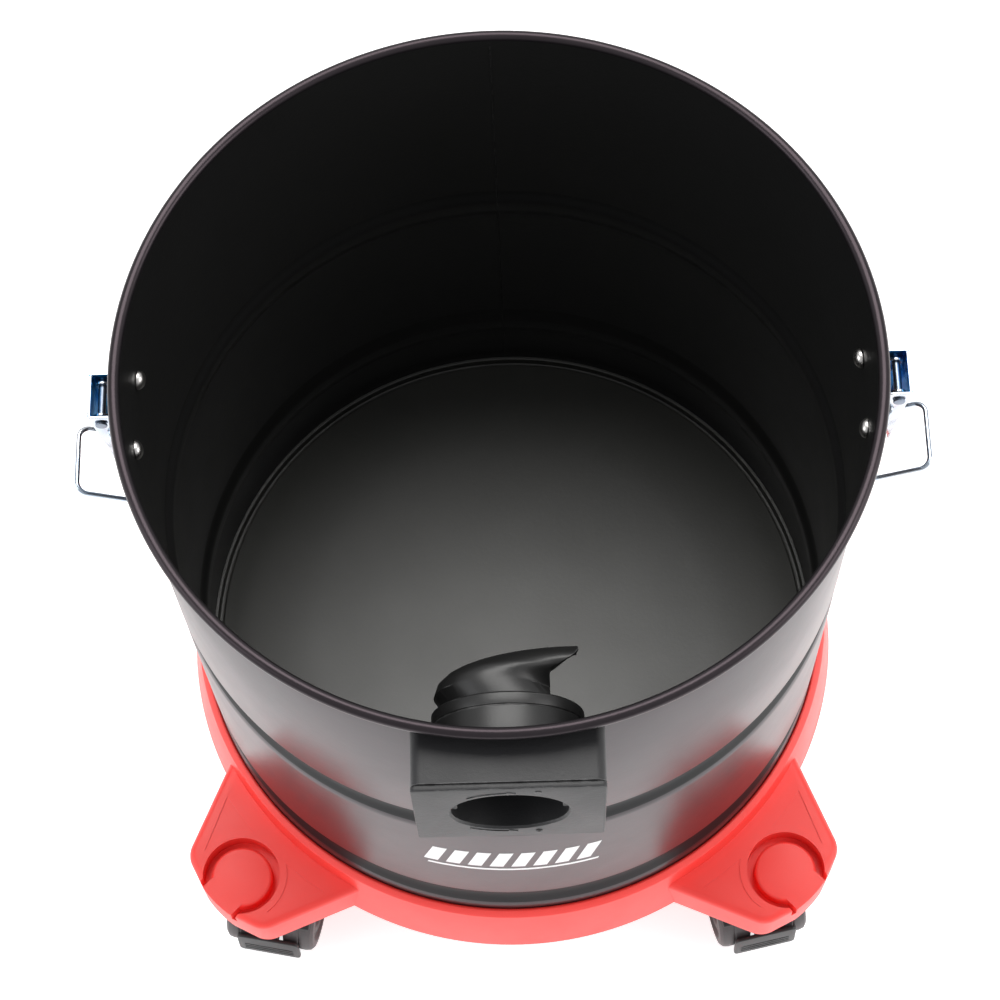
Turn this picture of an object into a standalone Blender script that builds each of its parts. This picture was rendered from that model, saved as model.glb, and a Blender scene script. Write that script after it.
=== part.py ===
"""Shop vacuum tank on its caster trolley.

A painted steel drum with a rolled rim stands in a moulded trolley ring with four arms. The front
carries a hose inlet with an inner deflector, the sides carry two toggle latches, and each arm
carries a twin-wheel caster. Metres, +Z up, the floor at Z = 0, the hose inlet towards -Y.
The origin is under the middle of the whole, so the drum's axis stands a little behind it, and
every piece hangs on one empty on that axis.
"""

import math

import bmesh
import bpy
from mathutils import Matrix, Vector

GAP = 0.0003  # between pieces that touch
TURN_STEPS = 48  # facets of the drum and the trolley
SMALL_STEPS = 16  # facets of pins, bores and wheels
SMOOTH_ANGLE = math.radians(35)

# Drum
RIM_RADIUS = 0.190
RIM_BEAD_RADIUS = 0.003
WALL_THICKNESS = 0.001
DRUM_HEIGHT = 0.377  # bottom edge to the middle of the rim's bead
GROOVE_DEPTH = 0.0035
GROOVE_SHARES = (0.168 / 0.377, 0.319 / 0.377)  # of the drum's height, below the rim
GROOVE_HALVES = (0.013, 0.015)
GROOVE_SAMPLES = 4
FLOOR_INSET = 0.0056  # panel's step inside the drum wall
FLOOR_RISE = 0.006
FLOOR_SHEET = 0.001
FLOOR_CHANNEL = 0.0035
SEAM_LIP = 0.003

# Hose inlet
INLET_MARGIN = 0.024  # from the bore up to the rim
INLET_BORE = 0.028
HOUSING_SIDE = 0.0175  # beside the bore
HOUSING_TOP_DROP = 0.013
HOUSING_EDGE_BAND = 0.012  # over and under the bore
HOUSING_DEPTH = 0.025  # front face beyond the drum wall
HOUSING_EDGE = 0.005
NECK_WALL = 0.002
NECK_SEAT = 0.012  # neck length inside the housing
COLLAR_WIDTH = 0.0062
COLLAR_LENGTH = 0.023
HOOD_BULGE = 0.0075  # deflector's closed side beyond the bore
HOOD_PIVOT_OUT = 0.005
HOOD_OPEN_IN = 0.004
HOOD_REACH_IN = 0.001
HOOD_SWEEP = 100.0  # degrees
LUG_WIDTH = 0.010
LUG_HEIGHT = 0.003
LUG_DEPTH = 0.004
INLET_SCREW_RADIUS = 0.002
INLET_SCREW_INSET = 0.0075  # from the housing's side and top
INLET_SCREW_LENGTH = 0.012

# Side latches
LATCH_PIN_DROP = 0.028  # below the rim
LATCH_PIN_STANDOFF = 0.012  # beyond the drum wall
LATCH_PIN_RADIUS = 0.002
LEVER_HALF_WIDTH = 0.0125
LEVER_TAPER = 4.0  # share of the half width lost per metre
LEVER_SHEET = 0.0012
LEVER_TOP = 0.007  # above the pin
LEVER_LENGTH = 0.045  # side plates, below the pin
LEVER_LIP = 0.012
LEVER_FRONT = 0.006  # web beyond the pin
LEVER_TILT = 0.0038
LEVER_BACK = 0.006
BRACKET_SHEET = 0.0015
BRACKET_WING = 0.0125  # plate beyond the lever's side
BRACKET_LOW = 0.031  # below the pin
BRACKET_HIGH = 0.008
EAR_RADIUS = 0.0039
RIVET_OUT = 0.007  # beyond the lever's side
RIVET_DROP = 0.017  # below the pin
RIVET_SHANK = 0.002
RIVET_DOME = 0.0044
RIVET_DOME_HEIGHT = 0.003
BAIL_WIRE = 0.0014
BAIL_PIVOT_IN = 0.003  # from the lever pin towards the drum
BAIL_PIVOT_DROP = 0.010
BAIL_SPREAD = 0.006  # loop beyond the lever's side
BAIL_ARM = 0.077
BAIL_HOOK = 0.035
BAIL_HOOK_RISE = 0.017
BAIL_CORNER = 0.006

# Trolley
TROLLEY_HEIGHT = 0.047
TROLLEY_SHOULDER = 0.0055
TROLLEY_BAND = 0.0046
SKIRT_FLARE = 0.0112  # skirt's foot beyond the band's inside
SKIRT_CLEARANCE = 0.012  # over the wheels
DRUM_RISE = 0.008  # drum's foot above the skirt's
TROLLEY_WALL = 0.0035
LEDGE_WIDTH = 0.0353
ARM_HEIGHT = 0.030
ARM_CHAMFER = 0.003
ARM_ROOT_HALF = 0.0697
ARM_REACH = 0.0547  # end's corners beyond the band's inside
ARM_END_HALF = 0.0325
ARM_NOSE_OUT = 0.008
ARM_CORNER = 0.014
TONGUE_OUT = 0.0412
TONGUE_RADIUS = 0.0172
TONGUE_NECK = 42.0  # degrees each side of the nose left open by the slot
TONGUE_SINK = 0.003
SLOT_WIDTH = 0.0044
SLOT_DEPTH = 0.010
POCKET_WALL = 0.004
POCKET_DEPTH = 0.010
BOSS_RADIUS = 0.0115

# Casters
CASTER_OUT = 0.0147  # swivel axes beyond the band's inside
TROLLEY_TURN = -1.0  # degrees, the trolley against the drum
FRONT_HEADING = 11.7  # degrees outward of straight ahead
REAR_HEADING = 5.0
STEM_RADIUS = 0.005
STEM_ENTRY = 0.0165  # stem's top above the skirt's foot
STEM_HANG = 0.012
TRAIL = 0.019
WHEEL_RADIUS = 0.025
WHEEL_WIDTH = 0.019
WHEEL_GAP = 0.016
AXLE_RADIUS = 0.003
AXLE_CAP = 0.005
WEB_WIDTH = 0.0135
SWIVEL_RADIUS = 0.013
SWIVEL_HEIGHT = 0.0125
FORK_BOSS = 0.009
HOOD_GAP = 0.002
HOOD_WALL = 0.0025
HOOD_WIDTH = 0.050
HOOD_START = 50.0
HOOD_END = 200.0
PEDAL_AHEAD = 0.0005
PEDAL_WIDTH = 0.038
PEDAL_SHEET = 0.0025
PEDAL_LOW = 0.012
PEDAL_RISE = 0.012
PEDAL_PIN_BACK = 0.013
PEDAL_PIN_RISE = 0.010
PEDAL_PIN_RADIUS = 0.0015
PEDAL_CHEEK = 0.003
LUG_THICKNESS = 0.005
CHEEK_HEIGHT = 0.0035

# Sizes that follow
WALL_RADIUS = RIM_RADIUS - 2 * RIM_BEAD_RADIUS + WALL_THICKNESS
INNER_RADIUS = WALL_RADIUS - WALL_THICKNESS
INNER_FLAT = INNER_RADIUS * math.cos(math.pi / TURN_STEPS)
BAND_INNER = WALL_RADIUS + GAP
FLOOR_RADIUS = INNER_RADIUS - FLOOR_INSET
TROLLEY_SKIRT_LOW = 2 * WHEEL_RADIUS + SKIRT_CLEARANCE
TROLLEY_SKIRT_RADIUS = BAND_INNER + SKIRT_FLARE
TROLLEY_TOP = TROLLEY_SKIRT_LOW + TROLLEY_HEIGHT
TROLLEY_LEDGE_RADIUS = BAND_INNER - LEDGE_WIDTH
DRUM_BOTTOM = TROLLEY_SKIRT_LOW + DRUM_RISE
ARM_TOP = TROLLEY_SKIRT_LOW + ARM_HEIGHT
ARM_ROOT = TROLLEY_LEDGE_RADIUS
ARM_END = BAND_INNER + ARM_REACH
ARM_NOSE = ARM_END + ARM_NOSE_OUT
TONGUE_CENTRE = BAND_INNER + TONGUE_OUT
CASTER_RADIUS = BAND_INNER + CASTER_OUT
STEM_TOP = TROLLEY_SKIRT_LOW + STEM_ENTRY
STEM_FOOT = TROLLEY_SKIRT_LOW - STEM_HANG
PEDAL_REACH = TRAIL + WHEEL_RADIUS + HOOD_GAP + PEDAL_AHEAD
PEDAL_HIGH = WHEEL_RADIUS + PEDAL_RISE
PEDAL_PIN_REACH = PEDAL_REACH - PEDAL_PIN_BACK
PEDAL_PIN_HEIGHT = WHEEL_RADIUS + PEDAL_PIN_RISE
RIM_HEIGHT = DRUM_BOTTOM + DRUM_HEIGHT
GROOVES = [(share * DRUM_HEIGHT, half) for share, half in zip(GROOVE_SHARES, GROOVE_HALVES)]
INLET_DROP = INLET_BORE + INLET_MARGIN
INLET_HEIGHT = RIM_HEIGHT - INLET_DROP
HOUSING_WIDTH = 2 * (INLET_BORE + HOUSING_SIDE)
HOUSING_HEIGHT = 2 * (INLET_BORE + HOUSING_EDGE_BAND)
HOUSING_FRONT = WALL_RADIUS + HOUSING_DEPTH
HOUSING_TOP = RIM_HEIGHT - HOUSING_TOP_DROP
HOUSING_MIDDLE = HOUSING_TOP - HOUSING_HEIGHT / 2
NECK_RADIUS = INLET_BORE + NECK_WALL + GAP
HOOD_SIDE = INLET_BORE + HOOD_BULGE
HOOD_OPEN_SIDE = INLET_BORE - HOOD_OPEN_IN
HOOD_PIVOT = INLET_BORE + HOOD_PIVOT_OUT
HOOD_REACH = INLET_BORE - HOOD_REACH_IN
PIN_X = WALL_RADIUS + LATCH_PIN_STANDOFF
PIN_Z = RIM_HEIGHT - LATCH_PIN_DROP
BAIL_X = PIN_X - BAIL_PIVOT_IN
BAIL_Z = PIN_Z - BAIL_PIVOT_DROP
RIVET_Z = PIN_Z - RIVET_DROP
RIVET_SPACING = 2 * (LEVER_HALF_WIDTH + RIVET_OUT)
BRACKET_HALF_WIDTH = LEVER_HALF_WIDTH + BRACKET_WING
BAIL_HALF_WIDTH = LEVER_HALF_WIDTH + BAIL_SPREAD
AXIS_BEHIND_ORIGIN = (HOUSING_FRONT - TROLLEY_SKIRT_RADIUS) / 2
BEAD_STEPS = 8

X_AXIS = Vector((1, 0, 0))
Y_AXIS = Vector((0, 1, 0))
Z_AXIS = Vector((0, 0, 1))


def clear_scene():
    for obj in list(bpy.data.objects):
        bpy.data.objects.remove(obj, do_unlink=True)


def new_collection(name):
    collection = bpy.data.collections.new(name)
    bpy.context.scene.collection.children.link(collection)
    return collection


clear_scene()
PARTS = new_collection("shop_vacuum")
CUTTERS = new_collection("cutters")
ROOT = bpy.data.objects.new("drum_axis", None)
ROOT.location = (0, AXIS_BEHIND_ORIGIN, 0)
PARTS.objects.link(ROOT)
bpy.context.view_layer.update()


def principled(name, colour, roughness, metallic=0.0):
    material = bpy.data.materials.new(name)
    material.use_nodes = True
    shader = material.node_tree.nodes["Principled BSDF"]
    shader.inputs["Base Color"].default_value = (*colour, 1)
    shader.inputs["Roughness"].default_value = roughness
    shader.inputs["Metallic"].default_value = metallic
    return material


BLACK_PAINT = principled("black_paint", (0.02, 0.02, 0.022), 0.35)
BLACK_PLASTIC = principled("black_plastic", (0.025, 0.025, 0.027), 0.5)
RED_PLASTIC = principled("red_plastic", (0.8, 0.04, 0.03), 0.4)
ZINC = principled("zinc_plate", (0.75, 0.77, 0.8), 0.25, 1.0)
STEEL = principled("bright_steel", (0.7, 0.7, 0.7), 0.2, 1.0)
TYRE = principled("grey_wheel", (0.06, 0.055, 0.06), 0.5)


def link(obj, collection, parent=None, place=Matrix()):
    collection.objects.link(obj)
    obj.parent = parent or ROOT
    obj.matrix_local = place
    return obj


def finish(obj, material):
    """Gives a part its material and smooth round faces."""
    obj.data.materials.append(material)
    if obj.type == "MESH":
        obj.data.shade_smooth()
        obj.data.set_sharp_from_angle(angle=SMOOTH_ANGLE)
    return obj


def helper(obj):
    """Keeps a cutter or a guide out of the model."""
    obj.hide_render = True
    obj.display_type = "WIRE"
    return obj


def frame(name, place, parent=None):
    """An empty that a sub-assembly hangs on."""
    empty = bpy.data.objects.new(name, None)
    return link(empty, PARTS, parent, place)


def mesh_object(name, bm, collection=PARTS, parent=None, place=Matrix()):
    mesh = bpy.data.meshes.new(name)
    bm.to_mesh(mesh)
    bm.free()
    return link(bpy.data.objects.new(name, mesh), collection, parent, place)


def outward(bm):
    bmesh.ops.recalc_face_normals(bm, faces=bm.faces)
    return bm


def box(name, low, high, **where):
    bm = bmesh.new()
    size = [b - a for a, b in zip(low, high)]
    middle = [(a + b) / 2 for a, b in zip(low, high)]
    matrix = Matrix.Translation(middle) @ Matrix.Diagonal((*size, 1))
    bmesh.ops.create_cube(bm, size=1, matrix=matrix)
    return mesh_object(name, bm, **where)


def cylinder(name, radius, low, high, steps=SMALL_STEPS, **where):
    """A cylinder on Z between two heights."""
    bm = bmesh.new()
    matrix = Matrix.Translation((0, 0, (low + high) / 2))
    bmesh.ops.create_cone(bm, cap_ends=True, segments=steps, radius1=radius, radius2=radius,
                          depth=high - low, matrix=matrix)
    return mesh_object(name, bm, **where)


def turned(name, profile, steps=SMALL_STEPS, closed=True, **where):
    """A profile of (radius, height) turned about Z. It runs down its outer side."""
    bm = bmesh.new()
    points = [bm.verts.new((radius, 0, height)) for radius, height in profile]
    for first, second in zip(points, points[1:]):
        bm.edges.new((first, second))
    if closed:
        bm.edges.new((points[-1], points[0]))
    obj = mesh_object(name, bm, **where)
    screw = obj.modifiers.new("turn", "SCREW")
    screw.steps = steps
    screw.render_steps = steps
    screw.use_merge_vertices = True
    screw.merge_threshold = 1e-6
    return obj


def prism(name, outline, low, high, **where):
    """An outline of (x, y) between two heights."""
    bm = bmesh.new()
    face = bm.faces.new([bm.verts.new((x, y, low)) for x, y in outline])
    side = bmesh.ops.extrude_face_region(bm, geom=[face])["geom"]
    moved = [item for item in side if isinstance(item, bmesh.types.BMVert)]
    bmesh.ops.translate(bm, verts=moved, vec=(0, 0, high - low))
    return mesh_object(name, outward(bm), **where)


def sheet(name, rows, thickness, around=False, **where):
    """A sheet through rows of points, thickened away from its outer side."""
    bm = bmesh.new()
    grid = [[bm.verts.new(point) for point in row] for row in rows]
    for low, high in zip(grid, grid[1:]):
        last = len(low) if around else len(low) - 1
        for i in range(last):
            j = (i + 1) % len(low)
            bm.faces.new((low[i], low[j], high[j], high[i]))
    obj = mesh_object(name, bm, **where)
    wall = obj.modifiers.new("wall", "SOLIDIFY")
    wall.thickness = thickness
    wall.offset = -1
    return obj


def combine(obj, other, operation="DIFFERENCE"):
    modifier = obj.modifiers.new(operation.lower(), "BOOLEAN")
    modifier.operation = operation
    modifier.solver = "EXACT"
    modifier.object = helper(other)
    return obj


def arc(centre, radius, start, end, steps):
    """Points on an arc, its angles in degrees."""
    angles = [math.radians(start + (end - start) * i / steps) for i in range(steps + 1)]
    return [(centre[0] + radius * math.cos(a), centre[1] + radius * math.sin(a)) for a in angles]


def rounded(points, radius, steps=4):
    """An open path of vectors with each inner corner rounded."""
    path = [points[0]]
    for before, corner, after in zip(points, points[1:], points[2:]):
        a = (before - corner).normalized()
        b = (after - corner).normalized()
        half = a.angle(b) / 2
        reach = radius / math.tan(half)
        centre = corner + (a + b).normalized() * (radius / math.sin(half))
        start = corner + a * reach - centre
        end = corner + b * reach - centre
        turn = start.angle(end)
        for i in range(steps + 1):
            share = turn * i / steps
            path.append(centre + (start * math.sin(turn - share) + end * math.sin(share)) / math.sin(turn))
    path.append(points[-1])
    return path


def wire(name, points, radius, material, **where):
    """A round wire along a path."""
    curve = bpy.data.curves.new(name, "CURVE")
    curve.dimensions = "3D"
    curve.bevel_depth = radius
    curve.bevel_resolution = 2
    curve.use_fill_caps = True
    spline = curve.splines.new("POLY")
    spline.points.add(len(points) - 1)
    for target, point in zip(spline.points, points):
        target.co = (*point, 1)
    obj = bpy.data.objects.new(name, curve)
    link(obj, PARTS, where.get("parent"), where.get("place", Matrix()))
    curve.materials.append(material)
    return obj


def along_y(y=0.0, x=0.0, z=0.0):
    """Turns a piece built on Z so that it points along +Y."""
    return Matrix.Translation((x, y, z)) @ Matrix.Rotation(math.radians(-90), 4, "X")


def along_x(x=0.0, y=0.0, z=0.0):
    """Turns a piece built on Z so that it points along +X."""
    return Matrix.Translation((x, y, z)) @ Matrix.Rotation(math.radians(90), 4, "Y")


def groove_at(height):
    """How far the wall is pressed in at a height."""
    for drop, half in GROOVES:
        away = abs(height - (RIM_HEIGHT - drop)) / half
        if away < 1:
            return GROOVE_DEPTH * (1 - away * away) ** 2
    return 0.0


def wall_heights():
    """Heights down the wall where its profile has a point."""
    heights = []
    for drop, half in GROOVES:
        middle = RIM_HEIGHT - drop
        heights += [middle + half * (1 - 2 * i / GROOVE_SAMPLES) for i in range(GROOVE_SAMPLES + 1)]
    return heights


def cylinder_inlet_hole(radius):
    """A cutter along the bore of the inlet, from in front of the housing to inside the drum."""
    reach = HOUSING_FRONT - INNER_RADIUS / 2
    place = along_y(-HOUSING_FRONT - GAP, z=INLET_HEIGHT)
    return cylinder("inlet_hole", radius, 0, reach, steps=24, collection=CUTTERS, place=place)


def inlet_screw_places():
    """The four screw axes of the inlet housing, as (x, z)."""
    side = HOUSING_WIDTH / 2 - INLET_SCREW_INSET
    rise = HOUSING_HEIGHT / 2 - INLET_SCREW_INSET
    return [(sx * side, HOUSING_MIDDLE + sz * rise) for sx in (-1, 1) for sz in (-1, 1)]


def screw_seat(x):
    """How far from the drum's axis an inlet screw's head sits."""
    return math.sqrt((INNER_RADIUS - GAP) ** 2 - (abs(x) + 2 * INLET_SCREW_RADIUS) ** 2)


def rivet_places(side):
    """The two rivets of one latch, each a matrix with +X along the rivet's axis."""
    angle = math.asin(RIVET_SPACING / 2 / WALL_RADIUS)
    around = 0 if side > 0 else math.pi
    return [Matrix.Rotation(around + sign * angle, 4, "Z") for sign in (-1, 1)]


def make_drum():
    half_turn = 180 / BEAD_STEPS
    corner = RIM_BEAD_RADIUS / math.cos(math.radians(half_turn))
    middle = (RIM_RADIUS - RIM_BEAD_RADIUS, RIM_HEIGHT)
    bead = arc(middle, corner, 180 + half_turn, half_turn - 135, BEAD_STEPS - 1)
    outer = [(WALL_RADIUS - groove_at(z), z) for z in wall_heights()]
    inner = [(radius - WALL_THICKNESS, z) for radius, z in reversed(outer)]
    foot = [
        (WALL_RADIUS, DRUM_BOTTOM),
        (INNER_RADIUS - SEAM_LIP, DRUM_BOTTOM),
        (INNER_RADIUS - SEAM_LIP, DRUM_BOTTOM + FLOOR_SHEET - GAP),
        (INNER_RADIUS, DRUM_BOTTOM + FLOOR_SHEET - GAP),
    ]
    shoulder = [(WALL_RADIUS, RIM_HEIGHT - 1.05 * RIM_BEAD_RADIUS)]
    drum = turned("drum_shell", bead + shoulder + outer + foot + inner, TURN_STEPS)
    combine(drum, cylinder_inlet_hole(NECK_RADIUS + 2 * GAP))
    for x, z in inlet_screw_places():
        place = along_y(-HOUSING_FRONT, x=x, z=z)
        hole = cylinder("screw_hole", INLET_SCREW_RADIUS + GAP, 0, HOUSING_DEPTH + WALL_RADIUS / 4,
                        collection=CUTTERS, place=place)
        combine(drum, hole)
    for side in (-1, 1):
        for place in rivet_places(side):
            place = place @ along_x(WALL_RADIUS - WALL_RADIUS / 20, z=RIVET_Z)
            hole = cylinder("rivet_hole", RIVET_SHANK + GAP, 0, WALL_RADIUS / 10, steps=12,
                            collection=CUTTERS, place=place)
            combine(drum, hole)
    return finish(drum, BLACK_PAINT)


def make_drum_floor():
    edge = INNER_RADIUS - GAP
    low = DRUM_BOTTOM + FLOOR_SHEET
    top = DRUM_BOTTOM + FLOOR_RISE
    profile = [
        (0, top),
        (FLOOR_RADIUS - FLOOR_SHEET, top),
        (FLOOR_RADIUS, top - FLOOR_SHEET),
        (FLOOR_RADIUS, low + FLOOR_SHEET),
        (FLOOR_RADIUS + FLOOR_CHANNEL, low + FLOOR_SHEET),
        (FLOOR_RADIUS + FLOOR_CHANNEL, top + FLOOR_SHEET),
        (edge, top + FLOOR_SHEET),
        (edge, low),
        (FLOOR_RADIUS - FLOOR_SHEET, low),
        (FLOOR_RADIUS - FLOOR_SHEET, top - FLOOR_SHEET),
        (0, top - FLOOR_SHEET),
    ]
    return finish(turned("drum_floor", profile, TURN_STEPS, closed=False), BLACK_PAINT)


def drum_cutter(radius, name="drum_space"):
    return cylinder(name, radius, 0, 2 * RIM_HEIGHT, steps=TURN_STEPS, collection=CUTTERS)


def make_inlet_housing():
    low = (-HOUSING_WIDTH / 2, -HOUSING_FRONT, HOUSING_TOP - HOUSING_HEIGHT)
    high = (HOUSING_WIDTH / 2, -INNER_RADIUS / 2, HOUSING_TOP)
    housing = box("inlet_housing", low, high)
    weights = housing.data.attributes.new("bevel_weight_edge", "FLOAT", "EDGE")
    for edge in housing.data.edges:
        ends = [housing.data.vertices[i].co for i in edge.vertices]
        upright = abs(ends[0].z - ends[1].z) > HOUSING_HEIGHT / 2
        in_front = ends[0].y < -WALL_RADIUS
        weights.data[edge.index].value = 1.0 if upright and in_front else 0.0
    bevel = housing.modifiers.new("edges", "BEVEL")
    bevel.width = HOUSING_EDGE
    bevel.segments = 4
    bevel.limit_method = "WEIGHT"
    combine(housing, drum_cutter(WALL_RADIUS + GAP))
    combine(housing, cylinder_inlet_hole(INLET_BORE))
    seat = along_y(-WALL_RADIUS - NECK_SEAT - GAP, z=INLET_HEIGHT)
    combine(housing, cylinder("neck_seat", NECK_RADIUS + GAP, 0, WALL_RADIUS / 2, steps=24,
                              collection=CUTTERS, place=seat))
    for sign in (-1, 1):
        inside = sign * (INLET_BORE - LUG_HEIGHT)
        outside = sign * (INLET_BORE + LUG_HEIGHT / 2)
        front = -HOUSING_FRONT + LUG_DEPTH
        lug = box("bayonet_lug", (min(inside, outside), front, INLET_HEIGHT - LUG_WIDTH / 2),
                  (max(inside, outside), front + LUG_DEPTH, INLET_HEIGHT + LUG_WIDTH / 2),
                  collection=CUTTERS)
        combine(housing, lug, "UNION")
    for x, z in inlet_screw_places():
        place = along_y(-screw_seat(x) - INLET_SCREW_LENGTH, x=x, z=z)
        pilot = cylinder("pilot", INLET_SCREW_RADIUS + GAP, 0, 2 * INLET_SCREW_LENGTH,
                         collection=CUTTERS, place=place)
        combine(housing, pilot)
    return finish(housing, BLACK_PLASTIC)


def make_inlet_collar():
    """The ring inside the drum that clamps the inlet."""
    start = -INNER_RADIUS - COLLAR_WIDTH
    end = -INNER_RADIUS + COLLAR_LENGTH
    inside = NECK_RADIUS + GAP
    profile = [
        (inside, end - start),
        (inside + COLLAR_WIDTH / 2, end - start),
        (inside + COLLAR_WIDTH, end - start - COLLAR_WIDTH / 2),
        (inside + COLLAR_WIDTH, 0),
        (inside, 0),
    ]
    collar = turned("inlet_collar", profile, 24, place=along_y(start, z=INLET_HEIGHT))
    combine(collar, drum_cutter(INNER_RADIUS - GAP, "drum_inside"), "INTERSECT")
    return finish(collar, BLACK_PLASTIC)


def deflector_ring(centre, side, half_width):
    """One ring of points of the deflector: centre, unit side vector and half width."""
    steps = 20
    points = []
    for i in range(steps):
        a = 2 * math.pi * i / steps
        points.append(centre + side * (half_width * math.cos(a)) - Z_AXIS * (NECK_RADIUS * math.sin(a)))
    return points


def make_inlet_deflector():
    """A neck through the wall that opens into a hood, which sends the air round the wall."""
    middle = Vector((0, 0, INLET_HEIGHT))
    neck_start = -WALL_RADIUS - NECK_SEAT
    collar_end = -INNER_RADIUS + COLLAR_LENGTH
    pivot = Vector((HOOD_PIVOT, collar_end + HOOD_PIVOT / 4, INLET_HEIGHT))
    rows = [
        deflector_ring(middle + Y_AXIS * neck_start, X_AXIS, NECK_RADIUS),
        deflector_ring(middle + Y_AXIS * (collar_end + 2 * GAP), X_AXIS, NECK_RADIUS),
    ]
    outer_start = HOOD_PIVOT + HOOD_SIDE
    inner_start = HOOD_PIVOT - HOOD_OPEN_SIDE
    sweeps = 7
    for i in range(sweeps + 1):
        share = i / sweeps
        a = math.radians(HOOD_SWEEP) * share
        reach = 1 / math.hypot(math.cos(a) / outer_start, math.sin(a) / HOOD_REACH)
        inner = inner_start * (1 - share) + NECK_WALL * 2 * share
        away = Vector((-math.cos(a), math.sin(a), 0))
        centre = pivot + away * ((reach + inner) / 2)
        rows.append(deflector_ring(centre, -away, (reach - inner) / 2))
    deflector = sheet("inlet_deflector", rows, NECK_WALL, around=True)
    return finish(deflector, BLACK_PLASTIC)


def make_inlet_screws():
    """Pan heads inside the drum, shanks into the housing."""
    head = INLET_SCREW_RADIUS
    profile = [
        (0, INLET_SCREW_LENGTH + head * 0.8),
        (head * 1.3, INLET_SCREW_LENGTH + head * 0.6),
        (head * 1.9, INLET_SCREW_LENGTH),
        (head, INLET_SCREW_LENGTH),
        (head, 0),
        (0, 0),
    ]
    screws = []
    for i, (x, z) in enumerate(inlet_screw_places()):
        place = along_y(-screw_seat(x) - INLET_SCREW_LENGTH + GAP, x=x, z=z)
        screw = turned(f"inlet_screw_{i + 1}", profile, 10, closed=False, place=place)
        screws.append(finish(screw, STEEL))
    return screws


def lever_half_width(height):
    return LEVER_HALF_WIDTH * (1 - LEVER_TAPER * (PIN_Z + LEVER_TOP - height))


def tapered_prism(name, outline, inset, **where):
    """A lever outline of (x, z) across the lever's width, which narrows downwards."""
    bm = bmesh.new()
    rows = []
    for sign in (-1, 1):
        row = [bm.verts.new((x, sign * (lever_half_width(z) - inset), z)) for x, z in outline]
        bm.faces.new(row)
        rows.append(row)
    for i in range(len(outline)):
        j = (i + 1) % len(outline)
        bm.faces.new((rows[0][i], rows[0][j], rows[1][j], rows[1][i]))
    return mesh_object(name, outward(bm), **where)


def make_lever(name, parent):
    """The latch's channel lever, hanging from its pin. Its frame stands on the pin's axis."""
    front = PIN_X + LEVER_FRONT
    top = PIN_Z + LEVER_TOP
    low = PIN_Z - LEVER_LENGTH
    tip = front - LEVER_TILT
    back = PIN_X - LEVER_BACK
    outline = [
        (back, top),
        (front, top),
        (tip, low),
        (tip - LEVER_SHEET / 2, low - LEVER_LIP),
        (tip - LEVER_SHEET * 1.5, low - LEVER_LIP),
        (tip - LEVER_SHEET, low),
        (back, PIN_Z - LEVER_LENGTH / 2),
    ]
    place = Matrix.Translation((-PIN_X, 0, -PIN_Z))
    lever = tapered_prism(name, outline, 0, parent=parent)
    lever.data.transform(place)
    space = [
        (back - LEVER_FRONT, top + LEVER_FRONT),
        (front - LEVER_SHEET + LEVER_TILT * LEVER_FRONT / (LEVER_LENGTH + LEVER_TOP), top + LEVER_FRONT),
        (tip - LEVER_SHEET, low),
        (back - LEVER_FRONT, low),
    ]
    cavity = tapered_prism("lever_space", space, LEVER_SHEET, collection=CUTTERS, parent=parent)
    cavity.data.transform(place)
    combine(lever, cavity)
    for x, z, radius in ((0, 0, LATCH_PIN_RADIUS), (-BAIL_PIVOT_IN, -BAIL_PIVOT_DROP, BAIL_WIRE)):
        hole = cylinder("lever_hole", radius + GAP, -LEVER_HALF_WIDTH * 2, LEVER_HALF_WIDTH * 2, steps=12,
                        collection=CUTTERS, parent=parent, place=along_y(x=x, z=z))
        combine(lever, hole)
    return finish(lever, ZINC)


def make_latch_pin(name, parent):
    """The lever's headed pin."""
    reach = lever_half_width(PIN_Z) + GAP
    head = LEVER_SHEET
    profile = [
        (0, reach + head),
        (LATCH_PIN_RADIUS * 1.5, reach + head),
        (LATCH_PIN_RADIUS * 1.5, reach),
        (LATCH_PIN_RADIUS, reach),
        (LATCH_PIN_RADIUS, -reach),
        (LATCH_PIN_RADIUS * 1.5, -reach),
        (LATCH_PIN_RADIUS * 1.5, -reach - head),
        (0, -reach - head),
    ]
    place = along_y(x=PIN_X, z=PIN_Z)
    return finish(turned(name, profile, 16, closed=False, parent=parent, place=place), STEEL)


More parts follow.
